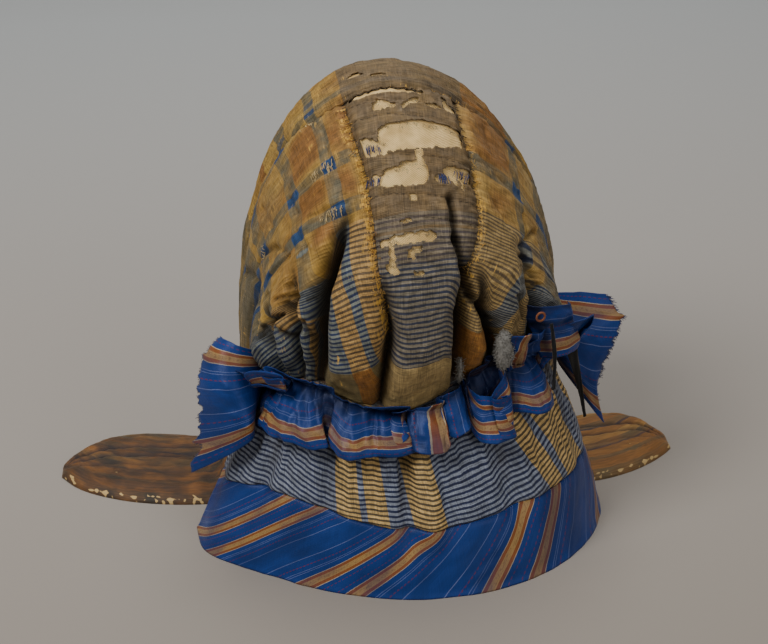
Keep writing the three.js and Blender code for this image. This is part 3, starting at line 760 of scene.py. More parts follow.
# Small pucker lines of the quilting, from one point to another, in millimetres deep and wide.
Pucker = namedtuple("Pucker", "t1 s1 t2 s2 depth wide")
PUCKERS = table(
    Pucker,
    (0.38, -0.80, 0.50, -0.75, 4.5, 2.4), (0.50, -0.75, 0.57, -0.745, 3.0, 2.2),
    (0.57, -0.745, 0.82, -0.725, 6.0, 3.4), (0.79, -0.70, 0.90, -0.69, 5.0, 3.0),
    (0.53, -0.70, 0.60, -0.57, 3.0, 2.2), (0.60, -0.57, 0.66, -0.50, 2.4, 2.0),
    (0.66, -0.62, 0.68, -0.48, 2.2, 2.0), (0.68, -0.48, 0.76, -0.49, 2.0, 2.0),
    (0.75, -0.49, 0.80, -0.47, 3.5, 2.0), (0.42, -0.60, 0.55, -0.56, 1.8, 2.0),
    (0.54, -0.45, 0.60, -0.42, 1.8, 1.8), (0.64, -0.43, 0.70, -0.38, 2.0, 2.0),
    (0.44, -0.27, 0.55, -0.25, 1.2, 1.8), (0.55, -0.40, 0.57, -0.20, 1.4, 1.6),
    (0.64, -0.34, 0.65, -0.20, 1.4, 1.6), (0.60, 0.60, 0.70, 0.50, 3.0, 2.0),
    (0.725, 0.49, 0.72, 0.54, 4.0, 2.4), (0.72, 0.54, 0.76, 0.58, 4.0, 2.4),
    (0.47, 0.46, 0.55, 0.52, 1.8, 1.8), (0.59, 0.53, 0.67, 0.55, 2.0, 1.8),
    (0.52, 0.33, 0.55, 0.44, 1.4, 1.8), (0.60, 0.36, 0.66, 0.43, 1.2, 1.6),
    (0.785, 0.225, 0.853, 0.285, 8.0, 3.2), (0.853, 0.285, 0.917, 0.400, 8.0, 3.6),
    (0.917, 0.400, 0.96, 0.44, 7.0, 3.6), (0.655, 0.195, 0.735, 0.20, 7.0, 2.8),
    (0.735, 0.20, 0.80, 0.245, 9.0, 3.2), (0.68, 0.165, 0.80, 0.20, -2.5, 5.0),
    (0.79, -0.52, 0.88, -0.46, 6.0, 3.0), (0.82, -0.60, 0.93, -0.50, 6.0, 3.2),
    (0.86, -0.44, 0.96, -0.40, 5.0, 2.6), (0.80, -0.66, 0.82, -0.55, 7.0, 3.4),
    (0.84, -0.56, 0.90, -0.53, -2.5, 5.0), (0.83, -0.46, 0.93, -0.43, -2.5, 4.5),
    (0.76, -0.56, 0.80, -0.44, 3.5, 2.4), (0.70, -0.64, 0.78, -0.60, 3.0, 2.4),
    (0.84, 0.47, 0.90, 0.52, 4.0, 2.6), (0.78, 0.60, 0.84, 0.55, 4.0, 2.6),
    (0.40, 0.36, 0.50, 0.38, 0.8, 1.6),
)
# Rows of running stitches across the centre panel.
QUILT_ROWS = (0.43, 0.475, 0.52, 0.57, 0.61, 0.655, 0.7, 0.745)
CREASE_CORE = {"depth": 9.0, "wide": 3.4}


def cloth_place(t, s):
    """Millimetres of cloth across and down the crown."""
    return s * CLOTH_PER_S, down_cloth(t)


def segment_distance(u, v, pucker):
    (u1, v1), (u2, v2) = cloth_place(pucker.t1, pucker.s1), cloth_place(pucker.t2, pucker.s2)
    du, dv = u2 - u1, v2 - v1
    share = np.clip(((u - u1) * du + (v - v1) * dv) / (du * du + dv * dv), 0, 1)
    return np.hypot(u - u1 - share * du, v - v1 - share * dv)


def crown_detail(t, s):
    """The finer relief of the quilted silk, in millimetres above the crown's own form."""
    u, v = cloth_place(t, s)
    arc = follow(RIBS, "t", "half", t) * ARC_PER_HALF
    pinch = 1 - (1 - LOBE["kept"]) * rise(LOBE["pinch"], 1, t)
    relief = 1.1 * noise(u, v, 17, 1) + 0.7 * noise(u, v, 8, 2) + 0.32 * noise(u, 1.5 * v, 3.6, 3)
    relief = relief + 0.14 * noise(0.6 * u, 2 * v, 1.9, 4)
    for crease in CREASES:
        strength = rise(crease.start, crease.start + CREASE_GROWTH, t) * pinch
        core = hump((s - crease_at(crease, t)) * arc, CREASE_CORE["wide"])
        relief = relief - CREASE_CORE["depth"] * strength * core
    for pucker in PUCKERS:
        relief = relief - pucker.depth * hump(segment_distance(u, v, pucker), pucker.wide)
    return relief


def torn_depth(t, s, tears, seed):
    """Millimetres inside the nearest tear: above 0 the silk is gone."""
    u, v = cloth_place(t, s)
    inside = np.full(np.broadcast(t, s).shape, -99.0)
    for tear in tears:
        middle_u, middle_v = cloth_place(tear.t, tear.s)
        du = u - middle_u
        dv = v - middle_v - tear.lean * du
        wide, high = tear.wide + 0.8, tear.high + 0.6
        away = ((np.abs(du) / wide) ** 4 + (np.abs(dv) / high) ** 4) ** 0.25
        inside = np.maximum(inside, (1 - away) * min(wide, high))
    return inside + 0.8 * noise(u, v, 2.4, seed) + 0.5 * noise(u, v, 1.1, seed + 1)


def left_seam(t):
    return follow(CENTRE_SEAMS, "t", "left", t)


def right_seam(t):
    return follow(CENTRE_SEAMS, "t", "right", t)


def brim_seam(s):
    return follow(BRIM_SEAM, "s", "t", s)


BRIM_CROSSING = 0.36


def panel_grid(edge_a, edge_b, grid):
    """t and s over a panel of the crown between two seams, from the brim's seam to the neck."""
    down, across = grid_lines(grid)
    top_s = lerp(edge_a(BRIM_CROSSING), edge_b(BRIM_CROSSING), across)
    t = lerp(brim_seam(top_s), 1, down)
    return t, lerp(edge_a(t), edge_b(t), across)


def crown_layer(t, s, puff, lift):
    return crown_base(t, s) + crown_normal(t, s) * (puff + lift)[..., None]


def crown_relief(t, s, seams, channels=0.0):
    """The puff of a panel with its relief, dipping into the seams round it, and its painted shade."""
    puff = crown_puff(t, s)
    relief = crown_detail(t, s)
    u, v = cloth_place(t, s)
    for along, distance in seams(t, s, u, v):
        stitch = np.sin(along * 2 * np.pi / 6.5 + noise(along, 0 * along, 9, 5) * 2)
        relief = relief - 2.6 * hump(distance, 3.2) + 0.5 * stitch * hump(distance, 7)
    # Painted shade: darker where the silk lies deep, along each crease and along the deep puckers.
    deep = np.clip((-puff - relief - 1) / 10, 0, 1)
    arc = follow(RIBS, "t", "half", t) * ARC_PER_HALF
    for crease in CREASES:
        strength = rise(crease.start, crease.start + 0.06, t)
        dark = hump((s - crease_at(crease, t)) * arc - crease.beside, crease.dark)
        deep = np.maximum(deep, strength * dark)
    for pucker in PUCKERS:
        if pucker.depth > 2.5:
            dark = hump(segment_distance(u, v, pucker), 0.9 * pucker.wide)
            deep = np.maximum(deep, min(pucker.depth / 6, 1) * dark)
    return puff, relief + channels, deep


class SeamTable:
    """Distances to the seams round a panel, in millimetres of cloth. All panels meet the brim's."""

    def __init__(self, left=None, right=None):
        self.left, self.right = left, right

    def __call__(self, t, s, u, v):
        beside = [seam for seam in (self.left, self.right) if seam is not None]
        rows = [(v, np.abs(s - seam(t)) * CLOTH_PER_S) for seam in beside]
        return [*rows, (u, np.abs(v - down_cloth(brim_seam(s))))]


# In units of s: the silk of two panels stays this far off their seam, and the wall laps it.
SEAM_EASE = 0.0004
SEAM_LAP = 0.006
# How much painted shade darkens the twill where the silk covers it, so that gaps at the seams look dark.
COVERED = 0.94
# The depth of a tear, in millimetres, where there is none.
UNTORN = -9.0
TEAR_SEED = {"centre": 11, "brim": 47}


def crown_body(gathered, t, s, seams, deep):
    """The wadded wall under the silk, with twill outside and lining inside. It laps the seams."""
    puff, relief, low = crown_relief(t, s, seams)
    under_lift = puff + relief - 1.1 - 2.6 * low
    under = crown_layer(t, s, under_lift, 0 * puff)
    inner = crown_layer(t, s, np.minimum(0.7 * puff - CROWN_WALL, under_lift - 0.9), 0 * puff)
    # The twill takes deep as its painted shade.
    gathered.add_shell(under, inner, cloth_grid(*cloth_place(t, s)), slot=1, inner_slot=2, shade=deep)


# Lines of warp down the side panels, so that the woven bands bend with the gathers.
Warp = namedtuple("Warp", "t first secondNear secondFar third")
WARPS_LEFT = table(
    Warp,
    (0.30, -0.300, -0.460, -0.50, -0.66), (0.40, -0.280, -0.445, -0.48, -0.66),
    (0.50, -0.260, -0.425, -0.46, -0.65), (0.60, -0.235, -0.410, -0.445, -0.64),
    (0.66, -0.222, -0.400, -0.44, -0.64), (0.72, -0.220, -0.370, -0.42, -0.635),
    (0.78, -0.200, -0.345, -0.42, -0.63), (0.84, -0.172, -0.275, -0.42, -0.62),
    (0.90, -0.135, -0.250, -0.425, -0.60), (0.95, -0.090, -0.210, -0.44, -0.60),
    (1.00, -0.050, -0.180, -0.46, -0.60),
)
WARP_PLACES_LEFT = (0.0, 30.0, 56.0, 64.0, 100.0, 165.0)
WARPS_RIGHT = table(
    Warp,
    (0.30, 0.460, 0.510, 0.62, 0.8), (0.50, 0.465, 0.510, 0.62, 0.8), (0.56, 0.465, 0.525, 0.62, 0.8),
    (0.66, 0.500, 0.550, 0.63, 0.8), (0.75, 0.490, 0.565, 0.64, 0.8), (0.80, 0.440, 0.510, 0.60, 0.8),
    (0.85, 0.395, 0.485, 0.58, 0.8), (0.90, 0.375, 0.440, 0.56, 0.8), (1.00, 0.360, 0.420, 0.55, 0.8),
)
WARP_PLACES_RIGHT = (0.0, 32.0, 42.0, 62.0, 95.0, 130.0)


def warp_places(t, s, panel):
    """Millimetres of cloth from the centre seam of a side panel, following its lines of warp."""
    stops = [follow(panel.lines, "t", column, t) for column in Warp._fields[1:]]
    stops = [panel.seam(t), *stops, panel.out + 0 * t]
    stops = [np.broadcast_to(stop, s.shape) * panel.out for stop in stops]
    places = panel.places
    x = np.zeros(s.shape)
    for k in range(len(stops) - 1):
        share = (s * panel.out - stops[k]) / np.maximum(stops[k + 1] - stops[k], 1e-4)
        inside = share >= 0 if k else np.full(s.shape, True)
        x = np.where(inside, lerp(places[k], places[k + 1], np.minimum(share, 1)), x)
    return x


# Patches whose gold leans to amber (above 0) or grey (below 0), with half sizes in millimetres.
Patch = namedtuple("Patch", "t s high wide amount")
PATCHES = table(
    Patch,
    (0.46, -0.36, 21, 14, 1.0), (0.60, -0.34, 13, 14, 0.9), (0.68, -0.29, 11, 10, 0.9),
    (0.46, -0.21, 26, 9, 0.8), (0.60, -0.19, 13, 8, 0.55), (0.45, 0.38, 30, 16, 1.0),
    (0.685, 0.49, 11, 7, 0.9), (0.55, -0.3, 5, 20, -0.3), (0.36, -0.25, 8, 12, -0.4),
    (0.36, -0.4, 8, 12, -0.3), (0.5, -0.56, 26, 13, -0.25), (0.62, -0.56, 12, 10, -0.1),
    (0.62, 0.40, 13, 8, 0.25), (0.55, -0.84, 36, 16, -0.9), (0.8, -0.7, 9, 9, -0.8),
)


def tone_at(t, s):
    u, v = cloth_place(t, s)
    tone = 0.0 * u * v
    for patch in PATCHES:
        middle_u, middle_v = cloth_place(patch.t, patch.s)
        away = ((u - middle_u) / patch.wide) ** 4 + ((v - middle_v) / patch.high) ** 4
        tone = tone + patch.amount * np.exp(-away)
    return tone


def cloth_grid(x, y):
    return np.stack(np.broadcast_arrays(x, y), -1)


def silk_layer(gathered, t, s, puff, relief, cloth, torn, **values):
    """The silk over the wadding: it lifts a little round its tears, and is gone inside them."""
    lifted = relief + 0.55 * hump(torn, 1.6)
    outer = crown_layer(t, s, puff, lifted)
    inner = crown_layer(t, s, puff, lifted - 0.45)
    middle = (torn[:-1, :-1] + torn[1:, :-1] + torn[:-1, 1:] + torn[1:, 1:]) / 4
    gathered.add_shell(outer, inner, cloth, slot=0, keep=middle < 0, **values)


def crown_materials(silk):
    return [silk, *shared("cotton_twill", "glazed_cotton_lining")]


# The woven bands: rows of a start in millimetres and three amounts, for the warp blue, amber and
# brown, and for the weft blue, pin stripes and plain.
GOLD, BLUE = (0, 0, 0), (1, 0, 0)
AMBER = PINS = (0, 1, 0)
BROWN = PLAIN = (0, 0, 1)


def zone(t):
    return float(down_cloth(t))


def zones(*rows):
    """Bands of the weft that start at t on the crown, with their starts in millimetres."""
    return [(zone(t), amounts) for t, amounts in rows]


WARP_CENTRE = [(-60, (1, 0, 0.75)), (60, (1, 0, 0.75))]
WEFT_CENTRE = zones(
    (0.3, GOLD), (0.685, (0, 0.55, 0)), (0.713, GOLD), (0.718, (0, 0.7, 0)), (0.775, PINS),
    (0.932, PLAIN), (1.0, PLAIN),
)
WARP_LEFT = [
    (-5, GOLD), (25.3, BLUE), (35, GOLD), (54.5, BLUE), (65.5, (0, 0.3, 0)),
    (94, BLUE), (105, GOLD), (109, BLUE), (180, BLUE),
]
WEFT_LEFT = zones(
    (0.25, GOLD), (0.342, BLUE), (0.368, GOLD), (0.534, BLUE), (0.565, GOLD), (0.639, BLUE),
    (0.671, GOLD), (0.692, PINS), (0.935, PLAIN), (1.1, PLAIN),
)
WARP_RIGHT = [(-5, GOLD), (32, BLUE), (42, GOLD), (60, BLUE), (140, BLUE)]
WEFT_RIGHT = zones(
    (0.25, GOLD), (0.52, BLUE), (0.562, GOLD), (0.655, PINS), (0.905, PLAIN), (1.1, PLAIN),
)
WARP_BRIM = [
    (-190, BLUE), (-126, GOLD), (-106, AMBER), (-100, GOLD), (-88, BLUE),
    (-78, GOLD), (-60, BLUE), (-53, (0, 0.2, 0)), (-34, (0.3, 0, 0.8)), (50, (0, 0.8, 0)),
    (85, BLUE), (92, GOLD), (112, BLUE), (190, BLUE),
]
WEFT_BRIM = [(-5, GOLD), *zones(
    (0.3, (0.3, 0, 0)), (0.325, GOLD), (0.345, (0.8, 0, 0)), (0.36, GOLD), (0.45, GOLD),
)]
HUES_CENTRE = {
    "pinGrey": "#756c5c", "navyBlue": "#2c3040", "grey": "#655a46", "brown": "#67533b", "olive": "#927b50",
}
# The two side panels: the side they lie on, their seam to the centre, their lines of warp with the
# millimetres that these lie from the seam, their woven bands, pin stripe spacing and colours.
SidePanel = namedtuple("SidePanel", "out seam lines places warp weft spacing hues")
SIDE_PANELS = {
    "left": SidePanel(
        -1, left_seam, WARPS_LEFT, WARP_PLACES_LEFT, WARP_LEFT, WEFT_LEFT, 0.97,
        {"pinGold": "#aa8650", "pinGrey": "#70736b", "navyGold": "#5a4935", "navyBlue": "#202c49"},
    ),
    "right": SidePanel(
        1, right_seam, WARPS_RIGHT, WARP_PLACES_RIGHT, WARP_RIGHT, WEFT_RIGHT, 0.74,
        {"pinGold": "#9f8453", "pinGrey": "#74736a", "gold": "#a68548", "navyGold": "#5f4f3a"},
    ),
}


def centre_grid(grid, lap):
    """t and s over the centre panel, which laps its seams by so much s."""
    return panel_grid(lambda t: left_seam(t) - lap, lambda t: right_seam(t) + lap, grid)


def side_grid(panel, grid, lap):
    """t and s over a side panel, from its seam with the centre, which it laps, to the face edge."""
    edges = [lambda t: panel.seam(t) - panel.out * lap, lambda t: panel.out + 0 * t]
    return panel_grid(*edges[::panel.out], grid)


def build_centre():
    gathered = Gathered()
    t, s = centre_grid("centre", -SEAM_EASE)
    u, v = cloth_place(t, s)
    # The silk dips at its rows of running stitches.
    rows = np.min([np.abs(v - zone(row)) for row in QUILT_ROWS], axis=0)
    ribs = 0.5 - 0.9 * hump(rows, 1.3)
    seams = SeamTable(left_seam, right_seam)
    puff, relief, deep = crown_relief(t, s, seams, ribs)
    # The weft drops beside the right seam above the neck, and leans in the middle.
    droop = 19 * rise(0.15, 0.27, s) * rise(0.78, 0.86, t)
    lean = 0.15 * (u - 18) * rise(0.55, 0.66, t) * (1 - rise(0.76, 0.84, t))
    cloth = cloth_grid(u, v - droop + lean + 0.8 * noise(u, v, 16, 21))
    torn = torn_depth(t, s, TEARS, TEAR_SEED["centre"])
    edge = np.minimum(s - left_seam(t), right_seam(t) - s) * CLOTH_PER_S
    torn = np.where(edge < 2.5, UNTORN, torn)
    worn = 0.3 * hump(torn, 2.0) + 0.35 * hump(edge, 2.5)
    silk_layer(gathered, t, s, puff, relief, cloth, torn, shade=0.85 * deep, wear=worn)
    t, s = centre_grid("centre_wall", SEAM_LAP)
    torn = torn_depth(t, s, TEARS, TEAR_SEED["centre"])
    crown_body(gathered, t, s, seams, np.where(torn > -3, 0.0, COVERED))
    silk = plaid_silk("faded_silk_taffeta_centre", WARP_CENTRE, WEFT_CENTRE, 0.96, "#8f7f66", HUES_CENTRE)
    piece = gathered.make("crown_center_silk", crown_materials(silk))
    settle(piece, "centre_silk", "crown_center")


def build_side(side):
    gathered = Gathered()
    left = side == "left"
    panel = SIDE_PANELS[side]
    t, s = side_grid(panel, side, -SEAM_EASE)
    x = warp_places(t, s, panel)
    u, v = cloth_place(t, s)
    seams = SeamTable(**{side: panel.seam})
    puff, relief, deep = crown_relief(t, s, seams)
    away = np.abs(s - panel.seam(t)) * CLOTH_PER_S
    # How much cloth is taken into the lobes above the neck, and how far the weft leans there.
    if left:
        beyond = rise(0.0, 0.04, crease_at(CREASES[2], t) - s)
        taken_in = 36 * rise(0.68, 0.79, t) * beyond
        lean = 0.35 * np.minimum(np.maximum(away - 14, 0), 34) * rise(0.72, 0.85, t) * (1 - beyond)
        gathered_in = rise(0.78, 0.84, t)
        lean = lean + 0.9 * (u + 80) * hump(s + 0.44, 0.05) * gathered_in
        lean = lean - 0.8 * (u + 97) * hump(s + 0.54, 0.05) * gathered_in
        coarse = gathered_in * beyond
        x = x + 44 * rise(0.862, 0.870, t + 0.012 * noise(u, v, 9, 24)) * beyond
    else:
        taken_in = 32 * rise(0.66, 0.76, t) * rise(0.46, 0.50, s)
        lean = 0.3 * away * rise(0.72, 0.82, t)
        outside = rise(0.0, 0.03, s - crease_at(CREASES[5], t)) * (1 - rise(0.46, 0.50, s))
        lean = lean + 18 * outside * rise(0.76, 0.88, t)
        coarse = 0 * u
    woven = v - taken_in - lean + noise(u, v, 18, 22)
    woven = woven - 0.5 * (woven - zone(0.8)) * coarse
    cloth = cloth_grid(x + 0.8 * noise(u, v, 14, 23), woven)
    torn = np.full(t.shape, UNTORN)
    # The silk is rubbed in specks beside the centre seam, and on the tops of its puffs.
    speckle = rise(0.1, 0.5, noise(u, v, 2.2, 31))
    worn = hump(away - 3, 4.2 if left else 2.2) * (0.35 + 0.6 * speckle) * (1.0 if left else 0.6)
    worn = worn * rise(0.36, 0.42, t) * (1 - rise(0.88, 0.94, t))
    worn = worn + 0.35 * rise(0.35, 0.7, noise(u, v, 5, 33)) * (1 - rise(0.5, 0.9, deep))
    silk_layer(
        gathered, t, s, puff, relief, cloth, torn, shade=0.9 * deep, wear=worn, tone=tone_at(t, s)
    )
    t, s = side_grid(panel, f"{side}_wall", SEAM_LAP)
    crown_body(gathered, t, s, seams, COVERED + 0 * t)
    name = f"faded_plaid_silk_{side}"
    silk = plaid_silk(name, panel.warp, panel.weft, panel.spacing, hues=panel.hues)
    piece = gathered.make(f"crown_{side}_silk", crown_materials(silk))
    settle(piece, "plaid_silk", f"crown_{side}")


BRIM_CORD = {"apart": 2.4, "deep": 0.45}
BRIM_TEARS = [Tear(0.31, -0.12, 1.4, 3, 0), Tear(0.33, -0.03, 1.3, 3, 0)]


def brim_grid(grid, lap):
    """t and s over the brim, which laps its seam to the panels by so much t."""
    down, s = grid_lines(grid, across=(-1, 1))
    s = s + 0 * down
    return lerp(0.0, brim_seam(s) + lap, down), s


def build_brim():
    gathered = Gathered()
    t, s = brim_grid("brim", -SEAM_EASE)
    u, v = cloth_place(t, s)
    channels = BRIM_CORD["deep"] * np.sin(v * 2 * np.pi / BRIM_CORD["apart"]) * rise(0.02, 0.06, t)
    seams = SeamTable()
    puff, relief, deep = crown_relief(t, s, seams, channels)
    relief = relief - 3 * hump(v, 3.5)
    cloth = cloth_grid(u + noise(u, v, 14, 43), v + 0.6 * noise(u, v, 20, 42))
    worn = 0.5 * rise(0.3, 0.8, noise(u, 3 * v, 6, 44)) + 0.5 * hump(v - down_cloth(brim_seam(s)), 2.5)
    torn = torn_depth(t, s, BRIM_TEARS, TEAR_SEED["brim"])
    tones = tone_at(t, s)
    silk_layer(gathered, t, s, puff, relief, cloth, torn, shade=0.85 * deep, wear=0.6 * worn, tone=tones)
    t, s = brim_grid("brim_wall", 0.5 * SEAM_LAP)
    torn = torn_depth(t, s, BRIM_TEARS, TEAR_SEED["brim"])
    crown_body(gathered, t, s, seams, np.where(torn > -3, 0.0, COVERED))
    silk = plaid_silk("channel_quilted_silk", WARP_BRIM, WEFT_BRIM, 1.0)
    piece = gathered.make("brim_band_silk", crown_materials(silk))
    settle(piece, "brim_silk", "brim_band")


# The curtain and its hem band.
WARP_CURTAIN = [
    (-190, BLUE), (-118, BLUE), (-57, GOLD), (-39.5, BLUE), (-34, GOLD),
    (-19, BLUE), (-3, BROWN), (0, GOLD), (18, BLUE), (78, GOLD), (90, BLUE),
    (97, GOLD), (134, BLUE), (167, GOLD), (191, GOLD),
]
WEFT_CURTAIN = [(-20, PINS), (200, PINS)]
HUES_CURTAIN = {"pinGrey": "#7d8390", "navyBlue": "#1a2443", "pinGold": "#c2a066", "navyGold": "#4c4130"}
CURTAIN_HEIGHT = 138
# The curtain ends this much drop above its hem band.
BAND_CLEAR = 0.003
NECK_TAPE = {"wide": 13, "thick": 0.8, "drop": 0.004}


def curtain_sheet(gathered, turn, drop, relief, cloth, **values):
    inward = curtain_inward(turn, drop)
    outer = curtain_point(turn, drop) - inward * relief[..., None]
    inner = curtain_point(turn, drop) + inward * CURTAIN_WALL
    gathered.add_shell(outer, inner, cloth, slot=0, inner_slot=1, **values)


def band_start(turn):
    return follow(BAND_START, "turn", "drop", turn)


def build_curtain():
    gathered = Gathered()
    down, turn = grid_lines("curtain", across=(-1, 1))
    drop = lerp(0.0, band_start(turn) - BAND_CLEAR, down)
    turn = turn + 0 * drop
    along, height = turn * CURTAIN_HALF_LENGTH, drop * CURTAIN_HEIGHT
    # Fine gathers below the neck, broad waves, and a dip at the seam with the hem band.
    gathers = noise(along, height * 0.12, 4.5, 51) * (1 - rise(0.3, 0.7, drop))
    relief = 2.0 * gathers + 0.9 * noise(along, 0.4 * height, 13, 52) + 0.3 * noise(along, height, 5, 53)
    relief = relief - 1.2 * hump((band_start(turn) - drop) * CURTAIN_HEIGHT, 2.0)
    # The stripes lean with the cape's flare. Painted shade darkens its top under the ruffle, and its
    # folds.
    lean = -(0.12 + 0.28 * rise(50, 120, along)) * height
    slope = 0.3 * np.maximum(np.abs(along) - 62, 0)
    cloth = cloth_grid(along + lean + 7, height + slope + 1.2 * noise(along, height, 22, 54))
    folds = np.zeros(turn.shape)
    for fold in CURTAIN_FOLDS:
        if fold.up < 0:
            middle = lerp(fold.neck, fold.hem, drop)
            folds = folds + 0.4 * hump((turn - middle) * CURTAIN_HALF_LENGTH, 0.7 * fold.wide)
    shade = 0.8 * (1 - rise(0.1, 0.32, drop)) * 0.8 + folds * (1 - rise(0.4, 0.6, drop))
    curtain_sheet(gathered, turn, drop, relief, cloth, shade=np.clip(shade, 0, 0.9))
    # A lining tape closes the gap inside the neck seam. Its painted shade is not read by the lining.
    inside, neck = grid_lines("neck_tape", (0, NECK_TAPE["wide"]), (-1, 1))
    neck = neck + 0 * inside
    edge, inward = curtain_point(neck, NECK_TAPE["drop"]), curtain_inward(neck, NECK_TAPE["drop"])
    cloth = cloth_grid(neck * CURTAIN_HALF_LENGTH, inside)
    tape = edge + inward * inside[..., None]
    gathered.add_sheet(tape, NECK_TAPE["thick"], cloth, slot=1, shade=0.9 + 0 * neck)
    silk = plaid_silk("pin_striped_silk", WARP_CURTAIN, WEFT_CURTAIN, 0.94, hues=HUES_CURTAIN)
    piece = gathered.make("curtain_silk", [silk, *shared("glazed_cotton_lining")])
    settle(piece, "striped_silk", "curtain")


# The hem band's pattern: one width of the ribbon's stripes takes this much of the turn.
REPEAT = {"turn": 0.6, "cloth": RIBBON_WIDTH, "at": -0.285}
# The band is cut slanting: where it ends and how high it is, as drops of the curtain, and how far
# its stripes lean across it at first, at the left and at the right.
HEM_SLANT = {"end": 0.99, "high": 0.39, "first": 0.33, "left": 0.46, "right": 0.2}


def build_hem():
    gathered = Gathered()
    down, turn = grid_lines("hem", across=(-1, 1))
    drop = lerp(band_start(turn), 1.0, down)
    turn = turn + 0 * drop
    along, height = turn * CURTAIN_HALF_LENGTH, drop * CURTAIN_HEIGHT
    slant = (HEM_SLANT["end"] - drop) / HEM_SLANT["high"]
    first = turn - HEM_SLANT["first"] * slant
    place = turn - lerp(HEM_SLANT["left"], HEM_SLANT["right"], rise(-0.9, 0.35, first)) * slant
    across = (place - REPEAT["at"]) / REPEAT["turn"] * REPEAT["cloth"]
    relief = 0.7 * noise(along, height, 24, 61) + 0.35 * noise(along + height, height, 9, 62)
    from_seam = (drop - band_start(turn)) * CURTAIN_HEIGHT
    relief = relief + 0.8 * hump((1 - drop) * CURTAIN_HEIGHT, 3) - 0.8 * hump(from_seam, 1.5)
    # Painted shade along the seam with the curtain.
    shade = 0.3 * hump(from_seam, 2.0)
    curtain_sheet(gathered, turn, drop, relief, cloth_grid(along, across), shade=shade)
    silk = ribbon_silk("royal_blue_plaid_taffeta_hem")
    piece = gathered.make("hem_band_silk", [silk, *shared("glazed_cotton_lining")])
    settle(piece, "ribbon_silk", "hem_band")


# The ribbon round the neck, in strips. A station says where its lower edge, gather line and upper
# edge lie: the turn round the neck, the level above the neck seam and the stand off the curtain, in
# millimetres. top is the millimetre of the ribbon's width that shows at the upper edge.
Station = namedtuple("Station", "turn drop out neck close up rise lean top base", defaults=(0,))
LEFT_PLEATS = table(
    Station,
    (-0.95, 34, 8, -0.96, 2, -0.95, 8, 3, 52), (-0.86, 36, 12, -0.90, 2, -0.88, 14, 4, 52),
    (-0.80, 33, 6, -0.84, 2, -0.84, 14, 3, 52), (-0.765, 31, 5, -0.80, 2, -0.80, 9, 3, 52),
    (-0.72, 30, 11, -0.76, 2, -0.76, 11, 5, 52), (-0.62, 32, 17, -0.68, 3, -0.67, 13, 8, 52),
    (-0.50, 33, 18, -0.56, 3, -0.56, 8, 6, 52), (-0.41, 33, 18, -0.47, 3, -0.46, 6, 6, 52),
    (-0.345, 30, 14, -0.42, 3, -0.40, 8, 6, 52), (-0.372, 27, 7, -0.375, 2.5, -0.36, 8, 4, 52),
    (-0.345, 26, 5, -0.34, 2.5, -0.32, 7, 3, 52), (-0.285, 26, 11, -0.28, 3, -0.27, 4, 4, 52),
    (-0.225, 29, 18, -0.21, 3, -0.21, 1, 4, 52), (-0.14, 25, 16, -0.13, 3, -0.14, 5, 8, 52),
    (-0.07, 24, 18, -0.07, 3, -0.06, 8, 9, 52), (0.01, 20, 16, -0.01, 3, -0.01, 2, 8, 52),
    (0.05, 13, 12, 0.03, 3, 0.02, -4, 7, 52), (0.03, 12, 5, 0.05, 2.5, 0.05, -4, 4, 52),
)
TWISTED_LOOPS = table(
    Station,
    (0.045, 21, 6, 0.05, 5, 0.055, 0, 6, 0), (0.075, 23, 12, 0.08, 12, 0.085, 4, 10, 8),
    (0.115, 23, 13, 0.115, 13, 0.12, 5, 11, 16), (0.15, 21, 5, 0.15, 5, 0.15, 3, 5, 20),
    (0.185, 23, 12, 0.185, 12, 0.185, 5, 10, 26), (0.24, 22, 14, 0.24, 14, 0.235, 3, 11, 38),
    (0.27, 19, 6, 0.27, 6, 0.265, 1, 6, 46),
)
RIGHT_PLEATS = table(
    Station,
    (0.25, 20, 4, 0.28, 2.5, 0.27, 5, 3, 52), (0.27, 20, 8, 0.29, 9, 0.29, 10, 9, 84, -13),
    (0.29, 18, 17, 0.31, 15, 0.30, 11, 17, 88, -17), (0.345, 18, 21, 0.36, 18, 0.365, 9, 22, 88, -19),
    (0.40, 19, 20, 0.41, 18, 0.42, 12, 21, 88, -18), (0.43, 22, 16, 0.45, 14, 0.455, 15, 14, 88, -14),
    (0.435, 30, 7, 0.45, 5, 0.46, 12, 5, 60, -3), (0.45, 31, 7, 0.48, 3, 0.49, 14, 3, 52),
    (0.50, 34, 14, 0.53, 3, 0.54, 14, 4, 52), (0.56, 35, 17, 0.59, 4, 0.60, 16, 4, 52),
    (0.63, 34, 14, 0.65, 3, 0.65, 20, 0, 52), (0.64, 24, 6, 0.68, 2.5, 0.68, 14, 0, 52),
    (0.69, 12, 12, 0.71, 8, 0.70, 18, 2, 52), (0.75, 7, 19, 0.76, 15, 0.75, 21, 8, 52),
    (0.83, 3, 18, 0.82, 14, 0.82, 14, 10, 52), (0.88, 6, 10, 0.87, 7, 0.87, 10, 4, 52),
    (0.91, 14, 4, 0.91, 3, 0.90, 8, 1, 52),
)
LOOP_MOUTH = table(
    Station,
    (0.27, 18, 10, 0.275, 10, 0.275, 3, 11, 88), (0.29, 24, 5, 0.29, 3, 0.295, 8, 2, 84),
    (0.35, 26, 5, 0.35, 2.5, 0.35, 13, 0, 82), (0.41, 25, 5, 0.41, 2.5, 0.41, 14, 0, 84),
    (0.455, 18, 9, 0.455, 9, 0.455, 8, 8, 88),
)
KNOT = table(
    Station,
    (-0.80, -9, 8, -0.79, 8, -0.79, 10, 7, 84), (-0.76, -5, 12, -0.75, 11, -0.74, 16, 10, 88),
    (-0.71, -6, 13, -0.70, 12, -0.69, 21, 10, 88), (-0.66, -5, 15, -0.65, 14, -0.65, 16, 13, 88),
    (-0.62, -4, 13, -0.61, 12, -0.61, 9, 11, 86), (-0.59, -5, 8, -0.585, 8, -0.58, 6, 8, 84),
)
